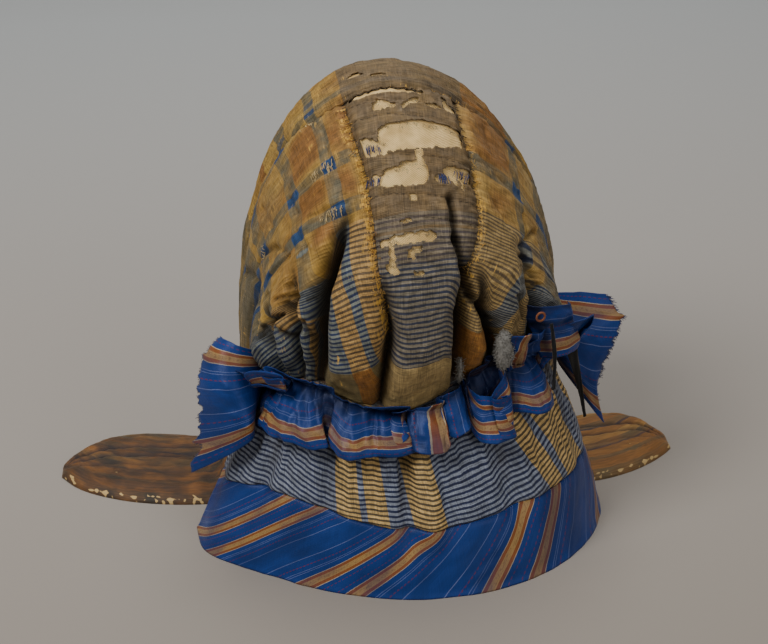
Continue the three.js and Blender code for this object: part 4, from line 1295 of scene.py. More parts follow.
UPRIGHT_FOLD = table(
    Station,
    (0.47, 4, 9, 0.47, 9, 0.455, 29, 0, 0), (0.49, 2, 15, 0.49, 15, 0.475, 30, 5, 8),
    (0.53, 1, 16, 0.53, 16, 0.50, 29, 6, 18), (0.56, 2, 9, 0.56, 9, 0.54, 22, -2, 24),
    (0.60, 2, 13, 0.60, 13, 0.58, 20, 2, 36), (0.65, 4, 12, 0.64, 12, 0.62, 22, 0, 48),
    (0.69, 6, 7, 0.68, 7, 0.66, 20, -2, 58),
)
# The folded flap and the small ring above it: corners in millimetres round the middle of the hem.
Corner = namedtuple("Corner", "across up x y z")
FLAP = table(
    Corner, (0, 0, 97, -79, 149), (1, 0, 121, -61, 150), (0, 1, 83, -83, 191), (1, 1, 112, -67, 184),
)
RING = {"x": 87, "y": -87, "z": 185, "radius": 3.0, "thick": 0.8}
# How much longer the ribbon is down the slope of the curtain than its drop.
SLOPE = 1.4


def ribbon_strip(gathered, stations, seed, twisted=False, deep=0.0):
    """A strip of ribbon through its stations. A twisted strip is turned, so that the stripes along
    the ribbon's edges stand upright. deep adds painted shade to a strip that lies in a hollow."""
    lower = np.array([(row.turn, -row.drop, row.out) for row in stations], float)
    places = beside_neck(*lower.T)
    steps = np.linalg.norm(np.diff(places, axis=0), axis=1) + 1.0
    run = np.concatenate([[0], np.cumsum(steps)])
    Keyed = namedtuple("Keyed", ("run",) + Station._fields)
    rows = [Keyed(at, *row) for at, row in zip(run, stations)]
    at = np.linspace(0, run[-1], int(run[-1] / RIBBON_STEP))[None, :]
    column = {name: follow(rows, "run", name, at) for name in Station._fields}
    low = np.linspace(1, 0, RIBBON_ROWS["below"])[:, None]
    high = np.linspace(0, 1, RIBBON_ROWS["above"])[1:, None]
    belly = np.sin(low * np.pi / 2) ** 0.8 - 0.06 * rise(0.85, 1, low)
    neck, base, close = column["neck"], column["base"], column["close"]
    turn = np.concatenate([lerp(neck, column["turn"], low), lerp(neck, column["up"], high)])
    level = np.concatenate([base - column["drop"] * low, base + column["rise"] * high])
    leaning = lerp(close, column["lean"], high ** 0.7)
    stand = np.concatenate([lerp(close, column["out"], belly), leaning])
    along = at + 0 * turn
    # Small crumples, drags that run to the gather line, and sharp crushed creases.
    crumple = 0.9 * noise(along, 0.6 * level, 7, seed) + 0.5 * noise(along, level, 3.6, seed + 1)
    drag = noise(along + 0.25 * level, 0.15 * level, 4.2, seed + 2) * rise(-26, -4, level)
    crushed = 1 - 2 * np.abs(noise(along + 0.7 * level, level - 0.3 * along, 12, seed + 4))
    crushed = crushed + 0.5 * (1 - 2 * np.abs(noise(along - 0.5 * level, 0.8 * level, 7, seed + 5)))
    stand = stand + crumple + 1.1 * drag + 0.9 * crushed
    stand = np.where(level < 2, np.maximum(stand, 1.4), stand)
    points = beside_neck(turn, level + 0.5 * noise(along, 0 * level, 9, seed + 3), stand)
    low_cloth = column["drop"] * SLOPE * (1 - low)
    high_cloth = column["top"] - column["rise"] * 1.1 * (1 - high)
    width = np.concatenate([low_cloth, high_cloth])
    if twisted:
        cloth = cloth_grid(level, column["top"] + 0 * level)
    else:
        cloth = cloth_grid(along, width)
    # Painted shade darkens the ribbon close to the hood, along its gather line and in crushed creases.
    valley = 1 - rise(4, 13, stand)
    dark = np.where(level < 0, valley, 0.55 * (1 - rise(3, 9, stand)))
    dark = np.maximum(0.92 * dark * (1 - 0.4 * rise(-20, -34, level)), 0.6 * hump(level, 4))
    dark = dark + 0.35 * rise(0.1, 0.9, -crushed) * (level < 0)
    gathered.add_sheet(points, size_of("ribbon_thickness"), cloth, shade=np.clip(dark + deep, 0, 0.92))


def add_flap(gathered):
    """The folded flap between its four corners, puffed out, pressed in across and curled at its sides."""
    up, across = grid_lines("flap", across=(-0.12, 1.08))
    corners = {(row.across, row.up): np.array([row.x, row.y, row.z], float) for row in FLAP}
    low = lerp(corners[0, 0], corners[1, 0], across[..., None])
    high = lerp(corners[0, 1], corners[1, 1], across[..., None])
    points = lerp(low, high, up[..., None])
    bulge = 4.5 * np.sin(np.clip(across, 0, 1) * np.pi) * (1 - 0.4 * up)
    bulge = bulge + 1.6 * noise(across * 25, up * 44, 9, 97) + 0.7 * noise(across * 25, up * 44, 4, 98)
    bulge = bulge - 3 * hump(up - 0.62, 0.08)
    bulge = bulge - 56 * np.maximum(across - 0.98, 0) - 48 * np.maximum(0.04 - across, 0)
    points = points - bulge[..., None] * unit(np.array([-0.55, 0.8, -0.1]))
    # Painted shade at its near side, along its top, and in the crease across it.
    shade = 0.75 * hump(across - 0.02, 0.12) + 0.5 * rise(0.85, 1, up) + 0.6 * hump(up - 0.62, 0.09)
    cloth = cloth_grid(across * 28 + 0 * up, up * 44 + 2 + 0 * across)
    gathered.add_sheet(points, size_of("ribbon_thickness"), cloth, shade=shade)


def ring_points(turn, reach, sink):
    """The small ring, which leans back: reach runs out from its middle, and sink into the hood."""
    x = RING["x"] + reach * np.cos(turn)
    y = RING["y"] - sink + 0.35 * reach * np.cos(turn)
    z = RING["z"] + reach * np.sin(turn)
    return np.stack([x, y, z], -1)


def add_ring(gathered):
    turn, bend = grid_lines("ring", FULL_TURN, FULL_TURN)
    ring = ring_points(turn, RING["radius"] + RING["thick"] * np.cos(bend), RING["thick"] * np.sin(bend))
    core = ring_points(turn, RING["radius"] + 0 * bend, 0 * bend)
    gathered.add_shell(ring, lerp(core, ring, 0.5), cloth_grid(turn * 4, 8.7 + 0 * bend))


def build_ruffle():
    gathered = Gathered()
    add_flap(gathered)
    add_ring(gathered)
    ribbon_strip(gathered, LEFT_PLEATS, 71)
    ribbon_strip(gathered, TWISTED_LOOPS, 75, twisted=True)
    ribbon_strip(gathered, RIGHT_PLEATS, 79)
    ribbon_strip(gathered, LOOP_MOUTH, 83, deep=0.85)
    ribbon_strip(gathered, KNOT, 87)
    ribbon_strip(gathered, UPRIGHT_FOLD, 91, twisted=True)
    silk = ribbon_silk("royal_blue_plaid_taffeta_ruffle")
    piece = gathered.make("ruffle_silk", [silk])
    settle(piece, "ribbon_silk", "ruffle")


# The ribbon's two cut ends, as rows from their upper to their lower edge, in millimetres round the
# middle of the hem: the shoulder is where the end folds forward, the free edge is cut and frayed.
End = namedtuple("End", "down level x y z freeX freeY freeZ")
END_LEFT = table(
    End,
    (0.0, 14, -110, -50, 152, -128, -38, 157), (0.12, 10, -112, -54, 146, -138, -41, 149),
    (0.35, 0, -111, -60, 132, -146, -46, 127), (0.6, -14, -109, -66, 117, -146, -52, 104),
    (0.8, -26, -108, -68, 106, -147, -56, 86), (1.0, -38, -108, -68, 95, -153, -60, 62),
)
END_RIGHT = table(
    End,
    (0.0, 26, 113, -24, 172, 146, -20, 168), (0.15, 22, 113, -30, 164, 157, -23, 153),
    (0.35, 14, 114, -34, 149, 153, -26, 134), (0.6, -4, 120, -36, 127, 144, -29, 113),
    (0.8, -18, 128, -37, 107, 140, -31, 97), (1.0, -30, 136, -37, 86, 143, -33, 77),
)
SHOULDER = 0.34


def build_tails():
    """The two cut ends: where they start round the neck, and how wide the ribbon is there."""
    ribbon_end("left", -0.93, END_LEFT, 90)
    ribbon_end("right", 0.95, END_RIGHT, 88)


def ribbon_end(side, turn, rows, width):
    """One cut end, which starts at this turn round the neck."""
    gathered = Gathered()
    down, out = grid_lines("ribbon_end")
    column = {name: follow(rows, "down", name, down) for name in End._fields}
    root = beside_neck(turn, np.minimum(column["level"], 0), 4.0 + 0 * down)
    root[..., 2] += np.maximum(column["level"], 0)
    shoulder = np.stack([column["x"], column["y"], column["z"]], -1)
    free = np.stack([column["freeX"], column["freeY"], column["freeZ"]], -1)
    # The cut edge is ragged, and the cloth bends through its root, shoulder and free edge.
    ragged = 0.035 * noise(90 * down, 0 * down, 2.4, 81) + 0.02 * noise(90 * down, 0 * down, 7, 82)
    ragged = 1 + ragged * rise(0, 0.12, down) * rise(0, 0.12, 1 - down)
    reach = (out * ragged)[..., None]
    near = (reach - SHOULDER) * (reach - 1) / SHOULDER
    middle = reach * (1 - reach) / (SHOULDER * (1 - SHOULDER))
    far = reach * (reach - SHOULDER) / (1 - SHOULDER)
    points = root * near + shoulder * middle + free * far
    x, y = out * 60, down * RIBBON_WIDTH
    billow = 1.6 * noise(x, y * 0.5, 19, 85) + 0.7 * noise(x + 0.6 * y, y, 8, 86)
    points[..., 1] += billow + 1.5 * np.sin(down * 4 * np.pi + 1) * out
    across = np.linalg.norm(free - shoulder, axis=-1)
    cloth = cloth_grid(out * across, down * width + 0 * out)
    # Painted shade between the root and the shoulder, where the end folds forward, and in a line beyond.
    shade = 0.85 * (1 - rise(0.1, SHOULDER, out)) + 0.15 * hump(out - 0.6, 0.1) + 0 * down
    gathered.add_sheet(points, size_of("ribbon_thickness"), cloth, shade=shade)
    add_fringe(gathered, points)
    silk = ribbon_silk(f"royal_blue_plaid_taffeta_{side}")
    piece = gathered.make(f"ruffle_tail_{side}_silk", [silk, *shared("navy_silk_thread")])
    settle(piece, "ribbon_silk", f"ruffle_tail_{side}")


# Loose ends at a cut edge: how many, and their least and greatest length and sag in millimetres.
FRINGE = {"count": 420, "short": 1.0, "long": 4.4, "sag": 1.8}


def add_fringe(gathered, points):
    """Loose weft ends along the cut edge of the ribbon."""
    random = np.random.default_rng(83)
    count = FRINGE["count"]
    place = np.sort(random.uniform(0, len(points) - 1.01, count))
    i = place.astype(int)
    root = lerp(points[i, -2], points[i + 1, -2], (place - i)[:, None])
    direction = unit(points[i, -1] - points[i, -7] + random.normal(0, 1.1, (count, 3)))
    tuft = 0.6 + 0.8 * np.abs(noise(place, 0 * place, 6, 84))
    length = (random.uniform(FRINGE["short"], FRINGE["long"], count) * tuft)[:, None, None]
    share = np.linspace(0, 1, 4)[None, :, None]
    lines = root[:, None] + direction[:, None] * share * length
    lines[..., 2] -= share[..., 0] ** 2 * random.uniform(0, FRINGE["sag"], count)[:, None]
    gathered.add_strands(lines, size_of("frayed_thread"), slot=1)


# Worn threads, stitches, ties and wadding.
def crown_threads(t, s, across, down, lift):
    """Short threads on the crown's silk. Each starts at t, s and runs so many millimetres."""
    share = np.linspace(0, 1, 5)
    t = t[:, None] + (down / MIDLINE_RUN[-1])[:, None] * share
    s = s[:, None] + (across / CLOTH_PER_S)[:, None] * share
    puff, relief, _ = crown_relief(t, s, SeamTable(left_seam, right_seam))
    return crown_layer(t, s, puff, relief + lift[:, None] * np.sin(share * np.pi) + 0.1)


# Where threads are worn loose: the middle and reach in t and s, how many, and the millimetres that
# they run down, and across.
Loose = namedtuple("Loose", "t reachT s reachS count down across")
CREAM_STREAKS = [
    Loose(0.546, 0.010, -0.285, 0.05, 30, 6, 0.7), Loose(0.654, 0.008, -0.265, 0.05, 26, 5, 0.7),
    Loose(0.390, 0.006, -0.330, 0.03, 10, 4, 0.8), Loose(0.560, 0.020, -0.640, 0.02, 10, 4, 1.6),
]
NAVY_FRAYS = [
    Loose(0.548, 0.004, -0.085, 0.03, 12, 7, 1.2), Loose(0.606, 0.004, 0.175, 0.02, 14, 8, 1.0),
    Loose(0.618, 0.004, -0.090, 0.03, 12, 7, 1.2), Loose(0.590, 0.003, 0.245, 0.03, 9, 7, 0.8),
]


# Threads worn loose along a seam: how far beside it in s, from where to where, how many, their
# spread and radius in millimetres, and the thread.
Worn = namedtuple("Worn", "seam beside start end count spread radius thread")
SEAM_THREADS = [
    Worn(left_seam, -0.012, 0.44, 0.9, 330, 1.5, 0.17, "gold_silk_thread"),
    Worn(left_seam, -0.010, 0.42, 0.8, 150, 1.5, 0.17, "amber_silk_thread"),
    Worn(right_seam, 0.01, 0.5, 0.8, 130, 1.1, 0.16, "gold_silk_thread"),
]
THREADS = (
    "gold_silk_thread", "cream_silk_thread", "navy_silk_thread", "faded_silk_thread",
    "dark_sewing_thread", "amber_silk_thread",
)
# Radii in millimetres, of threads and stitches drawn thick enough to show.
RADIUS = {"cream": 0.22, "navy": 0.3, "frayed": 0.13, "seam_stitch": 0.2, "quilting_stitch": 0.14}
SEAM_STITCHES = {"start": 0.37, "end": 0.9, "apart": 0.014, "long": 3.4, "beside": 1.2}
QUILTING_STITCHES = {"apart": 0.024, "long": 2.3}


def loose_rows(random, rows):
    spread = [random.uniform(-1, 1, (4, row.count)) for row in rows]
    t = np.concatenate([row.t + row.reachT * d[0] for row, d in zip(rows, spread)])
    s = np.concatenate([row.s + row.reachS * d[1] for row, d in zip(rows, spread)])
    across = np.concatenate([row.across * d[2] for row, d in zip(rows, spread)])
    down = np.concatenate([row.down * (0.7 + 0.4 * d[3]) for row, d in zip(rows, spread)])
    return crown_threads(t, s, across, down, np.full(len(t), 0.9))


def seam_rows(random, row):
    t = random.uniform(row.start, row.end, row.count)
    place = row.seam(t) + row.beside + random.normal(0, row.spread, row.count) / CLOTH_PER_S
    across, down = random.normal(0, 1.2, row.count), random.normal(0, 1.5, row.count)
    return crown_threads(t, place, across, down, random.uniform(0.1, 0.7, row.count))


def build_threads():
    """The gold threads worn loose along the seams, the stitches and the frayed ends."""
    random = np.random.default_rng(101)
    gathered = Gathered()
    slot = {name: k for k, name in enumerate(THREADS)}
    for row in SEAM_THREADS:
        gathered.add_strands(seam_rows(random, row), row.radius, slot[row.thread])
    gathered.add_strands(loose_rows(random, CREAM_STREAKS), RADIUS["cream"], slot["cream_silk_thread"])
    gathered.add_strands(loose_rows(random, NAVY_FRAYS), RADIUS["navy"], slot["navy_silk_thread"])
    # Frayed ends hang over the upper edge of each tear.
    for tear in TEARS:
        count = int(2.2 * tear.wide)
        place = tear.s + random.uniform(-1, 1, count) * tear.wide / CLOTH_PER_S
        edge = tear.t - 0.85 * tear.high / MIDLINE_RUN[-1] + random.normal(0, 0.0015, count)
        down, across = random.uniform(0.5, 1.8, count), random.normal(0, 0.6, count)
        frayed = crown_threads(edge, place, across, down, random.uniform(0.1, 0.6, count))
        gathered.add_strands(frayed, RADIUS["frayed"], slot["faded_silk_thread"])
    for seam, out in ((left_seam, -1), (right_seam, 1)):
        t = np.arange(SEAM_STITCHES["start"], SEAM_STITCHES["end"], SEAM_STITCHES["apart"])
        t = t + random.normal(0, 0.002, len(t))
        across = np.full(len(t), SEAM_STITCHES["long"] * out)
        place = seam(t) - out * SEAM_STITCHES["beside"] / CLOTH_PER_S
        stitches = crown_threads(t, place, across, across * 0.2 * out, 0.5 + 0 * t)
        gathered.add_strands(stitches, RADIUS["seam_stitch"], slot["dark_sewing_thread"])
    for row in QUILT_ROWS:
        s = np.arange(left_seam(row) + 0.02, right_seam(row) - 0.02, QUILTING_STITCHES["apart"])
        t = row + 0.0015 * np.sin(s * 40)
        whole = torn_depth(t, s, TEARS, TEAR_SEED["centre"]) < -3
        t, s = t[whole], s[whole]
        across = np.full(len(s), QUILTING_STITCHES["long"])
        stitches = crown_threads(t, s, across, 0 * s, 0.15 + 0 * s)
        gathered.add_strands(stitches, RADIUS["quilting_stitch"], slot["dark_sewing_thread"])
    piece = gathered.make("worn_threads", shared(*THREADS))
    settle(piece, "plaid_silk")


# Tufts of wadding that stand out of the creases: the middle, the half sizes and the strands.
Tuft = namedtuple("Tuft", "x y z wide deep high count")
TUFTS = [Tuft(62, -90, 163, 7, 6, 16, 1500), Tuft(32, -90, 150, 2, 2.5, 10, 320)]
# The two narrow black ties: points down their length and half their width there.
Tie = namedtuple("Tie", "x y z half")
TIES = [
    table(Tie, (95, -84, 178, 1.0), (97, -87, 163, 1.5), (98, -87, 149, 1.1), (97, -91, 131, 1.3)),
    table(Tie, (114, -62, 148, 4.4), (121, -52, 124, 2.6), (127, -45, 99, 1.4), (130, -45, 83, 1.0)),
]
TIE_SMOOTHINGS = 40


def build_wadding():
    """Two tufts, each a lumpy ball with curled strands that stand out of it."""
    random = np.random.default_rng(111)
    gathered = Gathered()
    for tuft in TUFTS:
        middle = np.array(tuft[:3], float)
        size = np.array([tuft.wide, tuft.deep, tuft.high], float)
        up, turn = grid_lines("tuft", (0.03, np.pi - 0.03), FULL_TURN)
        lumps = 1 + 0.12 * noise(turn * 3, up * 4, 1.0, 112) * np.sin(up)
        ball = np.stack([np.sin(up) * np.cos(turn), np.sin(up) * np.sin(turn), np.cos(up) + 0 * turn], -1)
        outer = middle + ball * size * 0.86 * lumps[..., None]
        gathered.add_shell(outer, middle + (outer - middle) * 0.8, cloth_grid(turn, up))
        way = unit(random.normal(0, 1, (tuft.count, 3)))
        root = middle + way * size * 0.84
        bend = random.normal(0, 1, (3, tuft.count, 3))
        share = np.linspace(0, 1, 4)[None, :, None]
        long = random.uniform(0.6, 2.2, tuft.count)[:, None, None]
        curl = np.sin(share * 5) * bend[1][:, None] * 0.25 + share ** 2 * bend[2][:, None] * 0.5
        lines = root[:, None] + (way + 0.9 * bend[0])[:, None] * share * long * 0.5 + curl
        gathered.add_strands(lines, size_of("wadding_strand"))
    piece = gathered.make("grey_wadding_tufts", shared("grey_wool_wadding"))
    settle(piece, "plaid_silk")


def build_ties():
    """The ties, crumpled tapes along smoothed lines."""
    gathered = Gathered()
    for rows in TIES:
        points = np.array(rows, float)
        at, knots = np.linspace(0, 1, GRIDS["tie"].rows), np.linspace(0, 1, len(rows))
        path = np.stack([np.interp(at, knots, points[:, k]) for k in range(4)], -1)
        for _ in range(TIE_SMOOTHINGS):
            path[1:-1] = (path[:-2] + 2 * path[1:-1] + path[2:]) / 4
        side = unit(np.stack([0.9 + 0 * at, 0.35 * np.sin(at * 9), 0.2 + 0 * at], -1))
        across = np.linspace(-1, 1, GRIDS["tie"].columns)[None, :, None]
        crush = 0.4 * np.sin(across * 4 + at[:, None, None] * 12)
        strip = path[:, None, :3] + side[:, None] * across * path[:, None, 3:] + crush * [0.0, 1.0, 0.0]
        gathered.add_sheet(strip, 0.5, cloth_grid(at[:, None] * 60, across[..., 0]))
    piece = gathered.make("black_ties", shared("black_silk_tape"))
    settle(piece, "ribbon_silk")


# The padded tabs.
def measured(rows):
    """The distance run along a tab's profile at each row of its table."""
    steps = [0.0] + [math.hypot(b.x - a.x, b.z - a.z) for a, b in zip(rows, rows[1:])]
    run = np.cumsum(steps)
    Measured = namedtuple("Measured", "run x z near far")
    return [Measured(float(r), row.x, row.z, row.near, row.far) for r, row in zip(run, rows)]


# Quilted lines along a tab: the share of its width from the near edge, and millimetres deep.
TabLine = namedtuple("TabLine", "share deep")
TAB_LINES = (TabLine(0.43, 1.0), TabLine(0.57, 2.6), TabLine(0.70, 2.8), TabLine(0.87, 0.9))
TAB_THINNEST = 0.4
TAB_CORD = {"apart": 2.5, "deep": 0.35, "fade": 0.34, "ends": 0.4}
# The colours of each tab: amber, taupe, navy and gold. The left tab's are darker, as painted shade.
TAB_COLOURS = {
    "left": ("#4e341d", "#372e21", "#171920", "#5b4527"),
    "right": ("#8f612c", "#6a5636", "#262a3a", "#a57b3c"),
}


def build_tab(side):
    """A tab: its underside follows its rows, and its upper side is padded and quilted."""
    gathered = Gathered()
    left = side == "left"
    rows = measured(TAB_LEFT if left else TAB_RIGHT)
    length = rows[-1].run
    outward = -1 if left else 1
    along, across = grid_lines("tab")
    along = 1 - (1 - along) ** 1.15
    across = 0.5 - 0.5 * np.cos(np.pi * across)

    def under(share):
        run = np.clip(share, 0, 1) * length
        return follow(rows, "run", "x", run), np.maximum(follow(rows, "run", "z", run), 0)

    x, z = under(along)
    before, after = under(along - 0.01), under(along + 0.01)
    run_x, run_z = after[0] - before[0], after[1] - before[1]
    size = np.hypot(run_x, run_z)
    run_x, run_z = run_x / size, run_z / size
    near, far = follow(rows, "run", "near", along * length), follow(rows, "run", "far", along * length)
    wide = far - near
    from_edge = np.minimum(across, 1 - across) * wide
    from_tip = (1 - along) * length
    full = np.sqrt(np.minimum(1, np.minimum(from_edge, from_tip) / TAB["round"]))
    u, v = along * length, across * wide
    wander = 1.8 * noise(u, 0 * u, 26, 94) + 0.6 * noise(u, 0 * u, 8, 95)
    lines = 0 * v
    for line in TAB_LINES:
        lines = lines + line.deep * hump((across - line.share) * wide + wander, 1.7)
    cords = TAB_CORD["deep"] * np.sin(v * 2 * np.pi / TAB_CORD["apart"])
    cords = cords * (1 - rise(TAB_CORD["fade"], TAB_CORD["ends"], across))
    thick = lerp(TAB_THINNEST, TAB["wall"], full) - (lines + cords) * full
    thick = thick + (0.9 * noise(u, v, 14, 91) + 0.6 * noise(u, 2 * v, 6, 92)) * full
    thick = np.maximum(thick, TAB_THINNEST)
    y = lerp(near, far, across)
    top = np.stack(np.broadcast_arrays(x - run_z * outward * thick, y, z + run_x * outward * thick), -1)
    low = np.stack(np.broadcast_arrays(x + 0 * y, y, z + 0 * y), -1)
    worn = 0.66 * hump(from_edge - 1.5, 2.6) * (across < 0.5) + 0.3 * rise(0.2, 0.7, noise(u, v, 4, 93))
    # Painted shade in the grooves of the quilted lines and cords.
    shade = np.clip(0.34 * lines + 0.5 * cords * (cords > 0), 0, 0.9) * full
    gathered.add_shell(top, low, cloth_grid(u, v), slot=0, inner_slot=1, wear=worn, shade=shade)
    material = tab_silk(f"channel_quilted_silk_tab_{side}", TAB_COLOURS[side], 0.6 if left else 0.2)
    piece = gathered.make(f"tab_{side}_silk", [material, *shared("glazed_cotton_lining")])
    settle(piece, "tab_silk", f"tab_{side}")


def tab_silk(name, codes, dirt):
    """Brown and amber striped silk, quilted in channels and rubbed through to its wadding at the
    edge: dull, with darker lines along it."""
    material, tree = new_material(name)
    uv, _, y = cloth_uv(tree)
    amber, taupe, navy, gold = (linear(code) for code in codes)
    rows = [
        (-5, taupe), (6, amber), (15, taupe), (20, amber), (31, navy), (33, taupe), (42, gold),
        (52, amber), (60, navy), (62, taupe), (70, amber), (80, gold), (90, taupe), (120, taupe),
    ]
    colour = bands(tree, y, [(start / 1000, c) for start, c in rows], -0.006, 0.121)
    patches = stretched_noise(tree, uv, 25, 16, 3.0)
    colour = node(tree, "mix", node(tree, "range", patches, 0.35, 0.7, 0, 0.7), colour, dye_or_shade("tab_amber"))
    threads = stretched_noise(tree, uv, 16, 0.6)
    colour = node(tree, "tint", 1.0, colour, node(tree, "range", threads, 0.3, 0.7, 0.7, 1.25))
    soiled = node(tree, "range", stretched_noise(tree, uv, 17, 9, 3.0), 0.4, 0.6, 0, dirt)
    colour = node(tree, "mix", soiled, colour, dye_or_shade("tab_soil"))
    spots = stretched_noise(tree, uv, 5.5, 3, 1.0)
    rubbed = node(tree, "add", node(tree, "wear"), node(tree, "range", spots, 0.4, 0.75, -0.5, 0.35))
    colour = node(tree, "mix", node(tree, "range", rubbed, 0.56, 0.64), colour, dye_or_shade("tab_wadding"))
    # Painted shade darkens the grooves.
    colour = node(tree, "mix", node(tree, "shade"), colour, dye_or_shade("tab_fold"))
    finish_cloth(tree, colour, threads, 0.3, 0.65, 0.2)
    return material


# The table and backdrop in millimetres, the lights and the camera in metres and degrees.
BACKDROP = {"radius": 600, "front": -2000, "beyond": 2300, "half": 2500}
# The paper's colour in front, in the middle and behind, with painted light: darker in front, paler behind.
BACKDROP_COLOURS = ("#857a6d", "#9f9890", "#adaeac")
SKY = {"colour": "#d8dade", "strength": 0.36}
Light = namedtuple("Light", "name place aim size power")
LIGHTS = [
    Light("window_light", (-1.3, -1.0, 1.9), (0, 0, 0.12), 1.1, 44),
    Light("front_fill", (1.2, -1.8, 1.0), (0, 0, 0.12), 1.6, 12),
    Light("backdrop_light", (0.2, 0.7, 2.1), (0, 0.9, 0.2), 1.4, 22),
]
CAMERA = {"place": (-0.10196, -1.14008, 0.70842), "tilt": 66, "heading": -6}
CAMERA_LENS = {
    "sensor_width": 36.0, "lens": 83.70, "shift_x": -0.02345, "shift_y": -0.07833, "clip_end": 20.0,
}


def build_stage():
    """A pale table that turns up into a plain backdrop, three soft lights and the camera."""
    gathered = Gathered()
    bend, radius, half = size_of("backdrop_distance"), BACKDROP["radius"], BACKDROP["half"]
    run, x = grid_lines("backdrop", (BACKDROP["front"], bend + BACKDROP["beyond"]), (-half, half))
    turned = np.clip((run - bend) / radius, 0, np.pi / 2)
    y = np.minimum(run, bend) + radius * np.sin(turned)
    z = radius * (1 - np.cos(turned)) + np.maximum(run - bend - radius * np.pi / 2, 0)
    points = np.stack(np.broadcast_arrays(x, y, z), -1)
    gathered.add(points, grid_quads(*points.shape[:2]), np.zeros(2))
    paper = painted_board("matt_backdrop_paper", *BACKDROP_COLOURS)
    gathered.make("table_and_backdrop", [paper])

    world = bpy.context.scene.world or bpy.data.worlds.new("studio")
    bpy.context.scene.world = world
    world.use_nodes = True
    background = world.node_tree.nodes["Background"]
    background.inputs["Color"].default_value = linear(SKY["colour"])
    background.inputs["Strength"].default_value = SKY["strength"]

    for row in LIGHTS:
        data = bpy.data.lights.new(row.name, "AREA")
        data.shape = "DISK"
        data.size = row.size
        data.energy = row.power
        lamp = bpy.data.objects.new(row.name, data)
        bpy.context.scene.collection.objects.link(lamp)
        point_at(lamp, row.place, row.aim)

    data = bpy.data.cameras.new("camera")
    for key, value in CAMERA_LENS.items():
        setattr(data, key, value)
    camera = bpy.data.objects.new("camera", data)
    bpy.context.scene.collection.objects.link(camera)
    camera.location = CAMERA["place"]
    camera.rotation_euler = (math.radians(CAMERA["tilt"]), 0.0, math.radians(CAMERA["heading"]))
    bpy.context.scene.camera = camera


def point_at(thing, place, aim):
    thing.location = place
    thing.rotation_euler = (Vector(aim) - Vector(place)).to_track_quat("-Z", "Y").to_euler()


# Threads, tape and wadding: the dyed colour and how matt it is.
Fibre = namedtuple("Fibre", "name code roughness")
FIBRES = table(
    Fibre,
    ("navy_silk_thread", "#1c2c5c", 0.6), ("gold_silk_thread", "#c99a45", 0.6),
    ("dark_sewing_thread", "#2e2620", 0.7), ("cream_silk_thread", "#bfa574", 0.7),
    ("amber_silk_thread", "#8d5f2c", 0.7), ("faded_silk_thread", "#6f6350", 0.7),
    ("black_silk_tape", "#08080b", 0.8), ("grey_wool_wadding", "#7b7872", 0.95),
)


def make_common_materials():
    twill_cotton("cotton_twill")
    lining_cotton("glazed_cotton_lining")
    for row in FIBRES:
        spun_fibre(row.name, row.code, row.roughness)


def size_property(name, description, default):
    return bpy.props.FloatProperty(
        name=name, description=description, default=default, min=0.2 * default, max=3 * default,
        precision=5, unit="LENGTH",
    )


def colour_property(name, description, code):
    return bpy.props.FloatVectorProperty(
        name=name, description=description, default=linear(code), size=4, min=0, max=1, subtype="COLOR"
    )


class HoodSizes(bpy.types.PropertyGroup):
    """Sizes of the cloth and threads"""
    pin_spacing: size_property("Pin stripe spacing", "From one pin stripe to the next", 0.0038)
    ribbon_thickness: size_property("Ribbon thickness", "Thickness of the ribbon as it is drawn", 0.0006)
    wadding_strand: size_property("Wadding strand radius", "Radius of a wool strand of the tufts", 0.00015)
    frayed_thread: size_property("Frayed thread radius", "Radius of a thread at a cut end", 0.00017)
    backdrop_distance: size_property("Backdrop distance", "Where the table turns up behind the hood", 1.9)


class HoodColours(bpy.types.PropertyGroup):
    """Colours of the cloths"""
    gold: colour_property("Gold silk", "Where gold warp crosses gold weft", "#a4823f")
    amber: colour_property("Amber silk", "Where the gold silk has darkened", "#82592c")
    grey: colour_property("Grey silk", "Where blue crosses gold", "#615a47")
    blue: colour_property("Blue silk", "Where blue crosses blue", "#1f3f66")
    ribbon_blue: colour_property("Ribbon blue", "Ground of the ribbon and the hem band", "#1c3570")
    ribbon_tan: colour_property("Ribbon tan", "Middle of the ribbon's border stripe", "#9a7947")
    twill: colour_property("Twill cream", "Cotton twill that shows in the tears", "#f0cd8c")
    lining: colour_property("Lining brown", "Glazed cotton lining", "#6d5440")


class HOOD_OT_stage(bpy.types.Operator):
    """Adds the table, backdrop, lights and camera"""
    bl_idname = "hood.stage"
    bl_label = "Stage"

    def execute(self, context):
        build_stage()
        return {"FINISHED"}


class HOOD_OT_crown(bpy.types.Operator):
    """Builds the centre panel, the two side panels and the brim of the crown"""
    bl_idname = "hood.crown"
    bl_label = "Crown"

    def execute(self, context):
        build_centre()
        build_side("left")
        build_side("right")
        build_brim()
        return {"FINISHED"}


class HOOD_OT_curtain(bpy.types.Operator):
    """Builds the curtain and its hem band"""
    bl_idname = "hood.curtain"
    bl_label = "Curtain"

    def execute(self, context):
        build_hem()
        build_curtain()
        return {"FINISHED"}


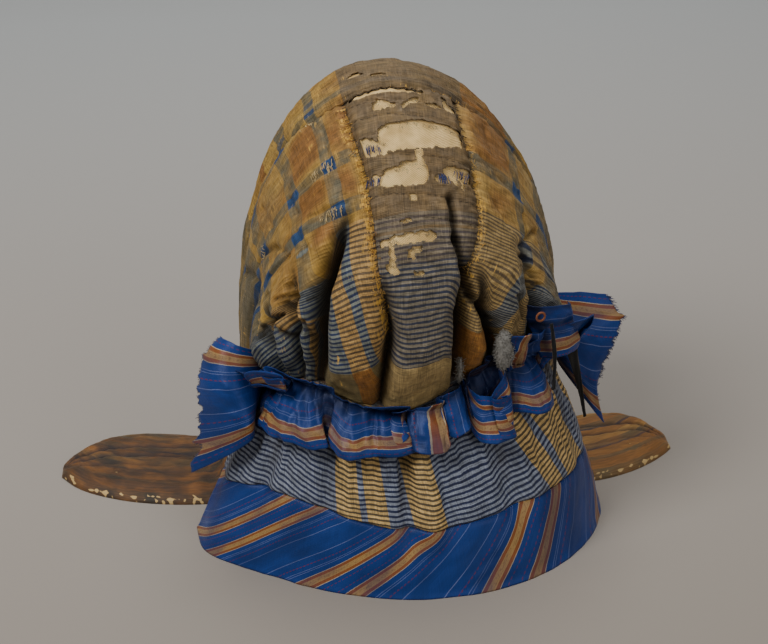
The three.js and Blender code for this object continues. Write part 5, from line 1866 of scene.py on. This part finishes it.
class HOOD_OT_ribbon(bpy.types.Operator):
    """Builds the pleated ribbon and its two cut ends"""
    bl_idname = "hood.ribbon"
    bl_label = "Ribbon"

    def execute(self, context):
        build_ruffle()
        build_tails()
        return {"FINISHED"}


class HOOD_OT_tabs(bpy.types.Operator):
    """Builds the two padded tabs"""
    bl_idname = "hood.tabs"
    bl_label = "Tabs"

    def execute(self, context):
        build_tab("left")
        build_tab("right")
        return {"FINISHED"}


class HOOD_OT_loose(bpy.types.Operator):
    """Adds the worn threads, the stitches, the wadding tufts and the two black ties"""
    bl_idname = "hood.loose"
    bl_label = "Threads and ties"

    def execute(self, context):
        build_threads()
        build_wadding()
        build_ties()
        return {"FINISHED"}


OPERATORS = (
    HOOD_OT_stage, HOOD_OT_crown, HOOD_OT_curtain, HOOD_OT_ribbon, HOOD_OT_tabs, HOOD_OT_loose,
)


class HOOD_PT_panel(bpy.types.Panel):
    bl_label = "Quilted silk hood"
    bl_idname = "HOOD_PT_panel"
    bl_space_type = "VIEW_3D"
    bl_region_type = "UI"
    bl_category = "Hood"

    def draw(self, context):
        for settings in (context.scene.hood_sizes, context.scene.hood_colours):
            for key in settings.__annotations__:
                self.layout.prop(settings, key)
        for operator in OPERATORS:
            self.layout.operator(operator.bl_idname)


CLASSES = (HoodSizes, HoodColours, *OPERATORS, HOOD_PT_panel)


def register():
    for cls in CLASSES:
        bpy.utils.register_class(cls)
    bpy.types.Scene.hood_sizes = bpy.props.PointerProperty(type=HoodSizes)
    bpy.types.Scene.hood_colours = bpy.props.PointerProperty(type=HoodColours)


def unregister():
    del bpy.types.Scene.hood_colours
    del bpy.types.Scene.hood_sizes
    for cls in reversed(CLASSES):
        bpy.utils.unregister_class(cls)


def plain(box):
    """The two corners of a box as lists of numbers."""
    return [[float(x) for x in corner] for corner in box]


def main():
    register()
    make_common_materials()
    bpy.ops.hood.stage()
    bpy.ops.hood.crown()
    bpy.ops.hood.curtain()
    bpy.ops.hood.ribbon()
    bpy.ops.hood.tabs()
    bpy.ops.hood.loose()


if __name__ == "__main__":
    main()
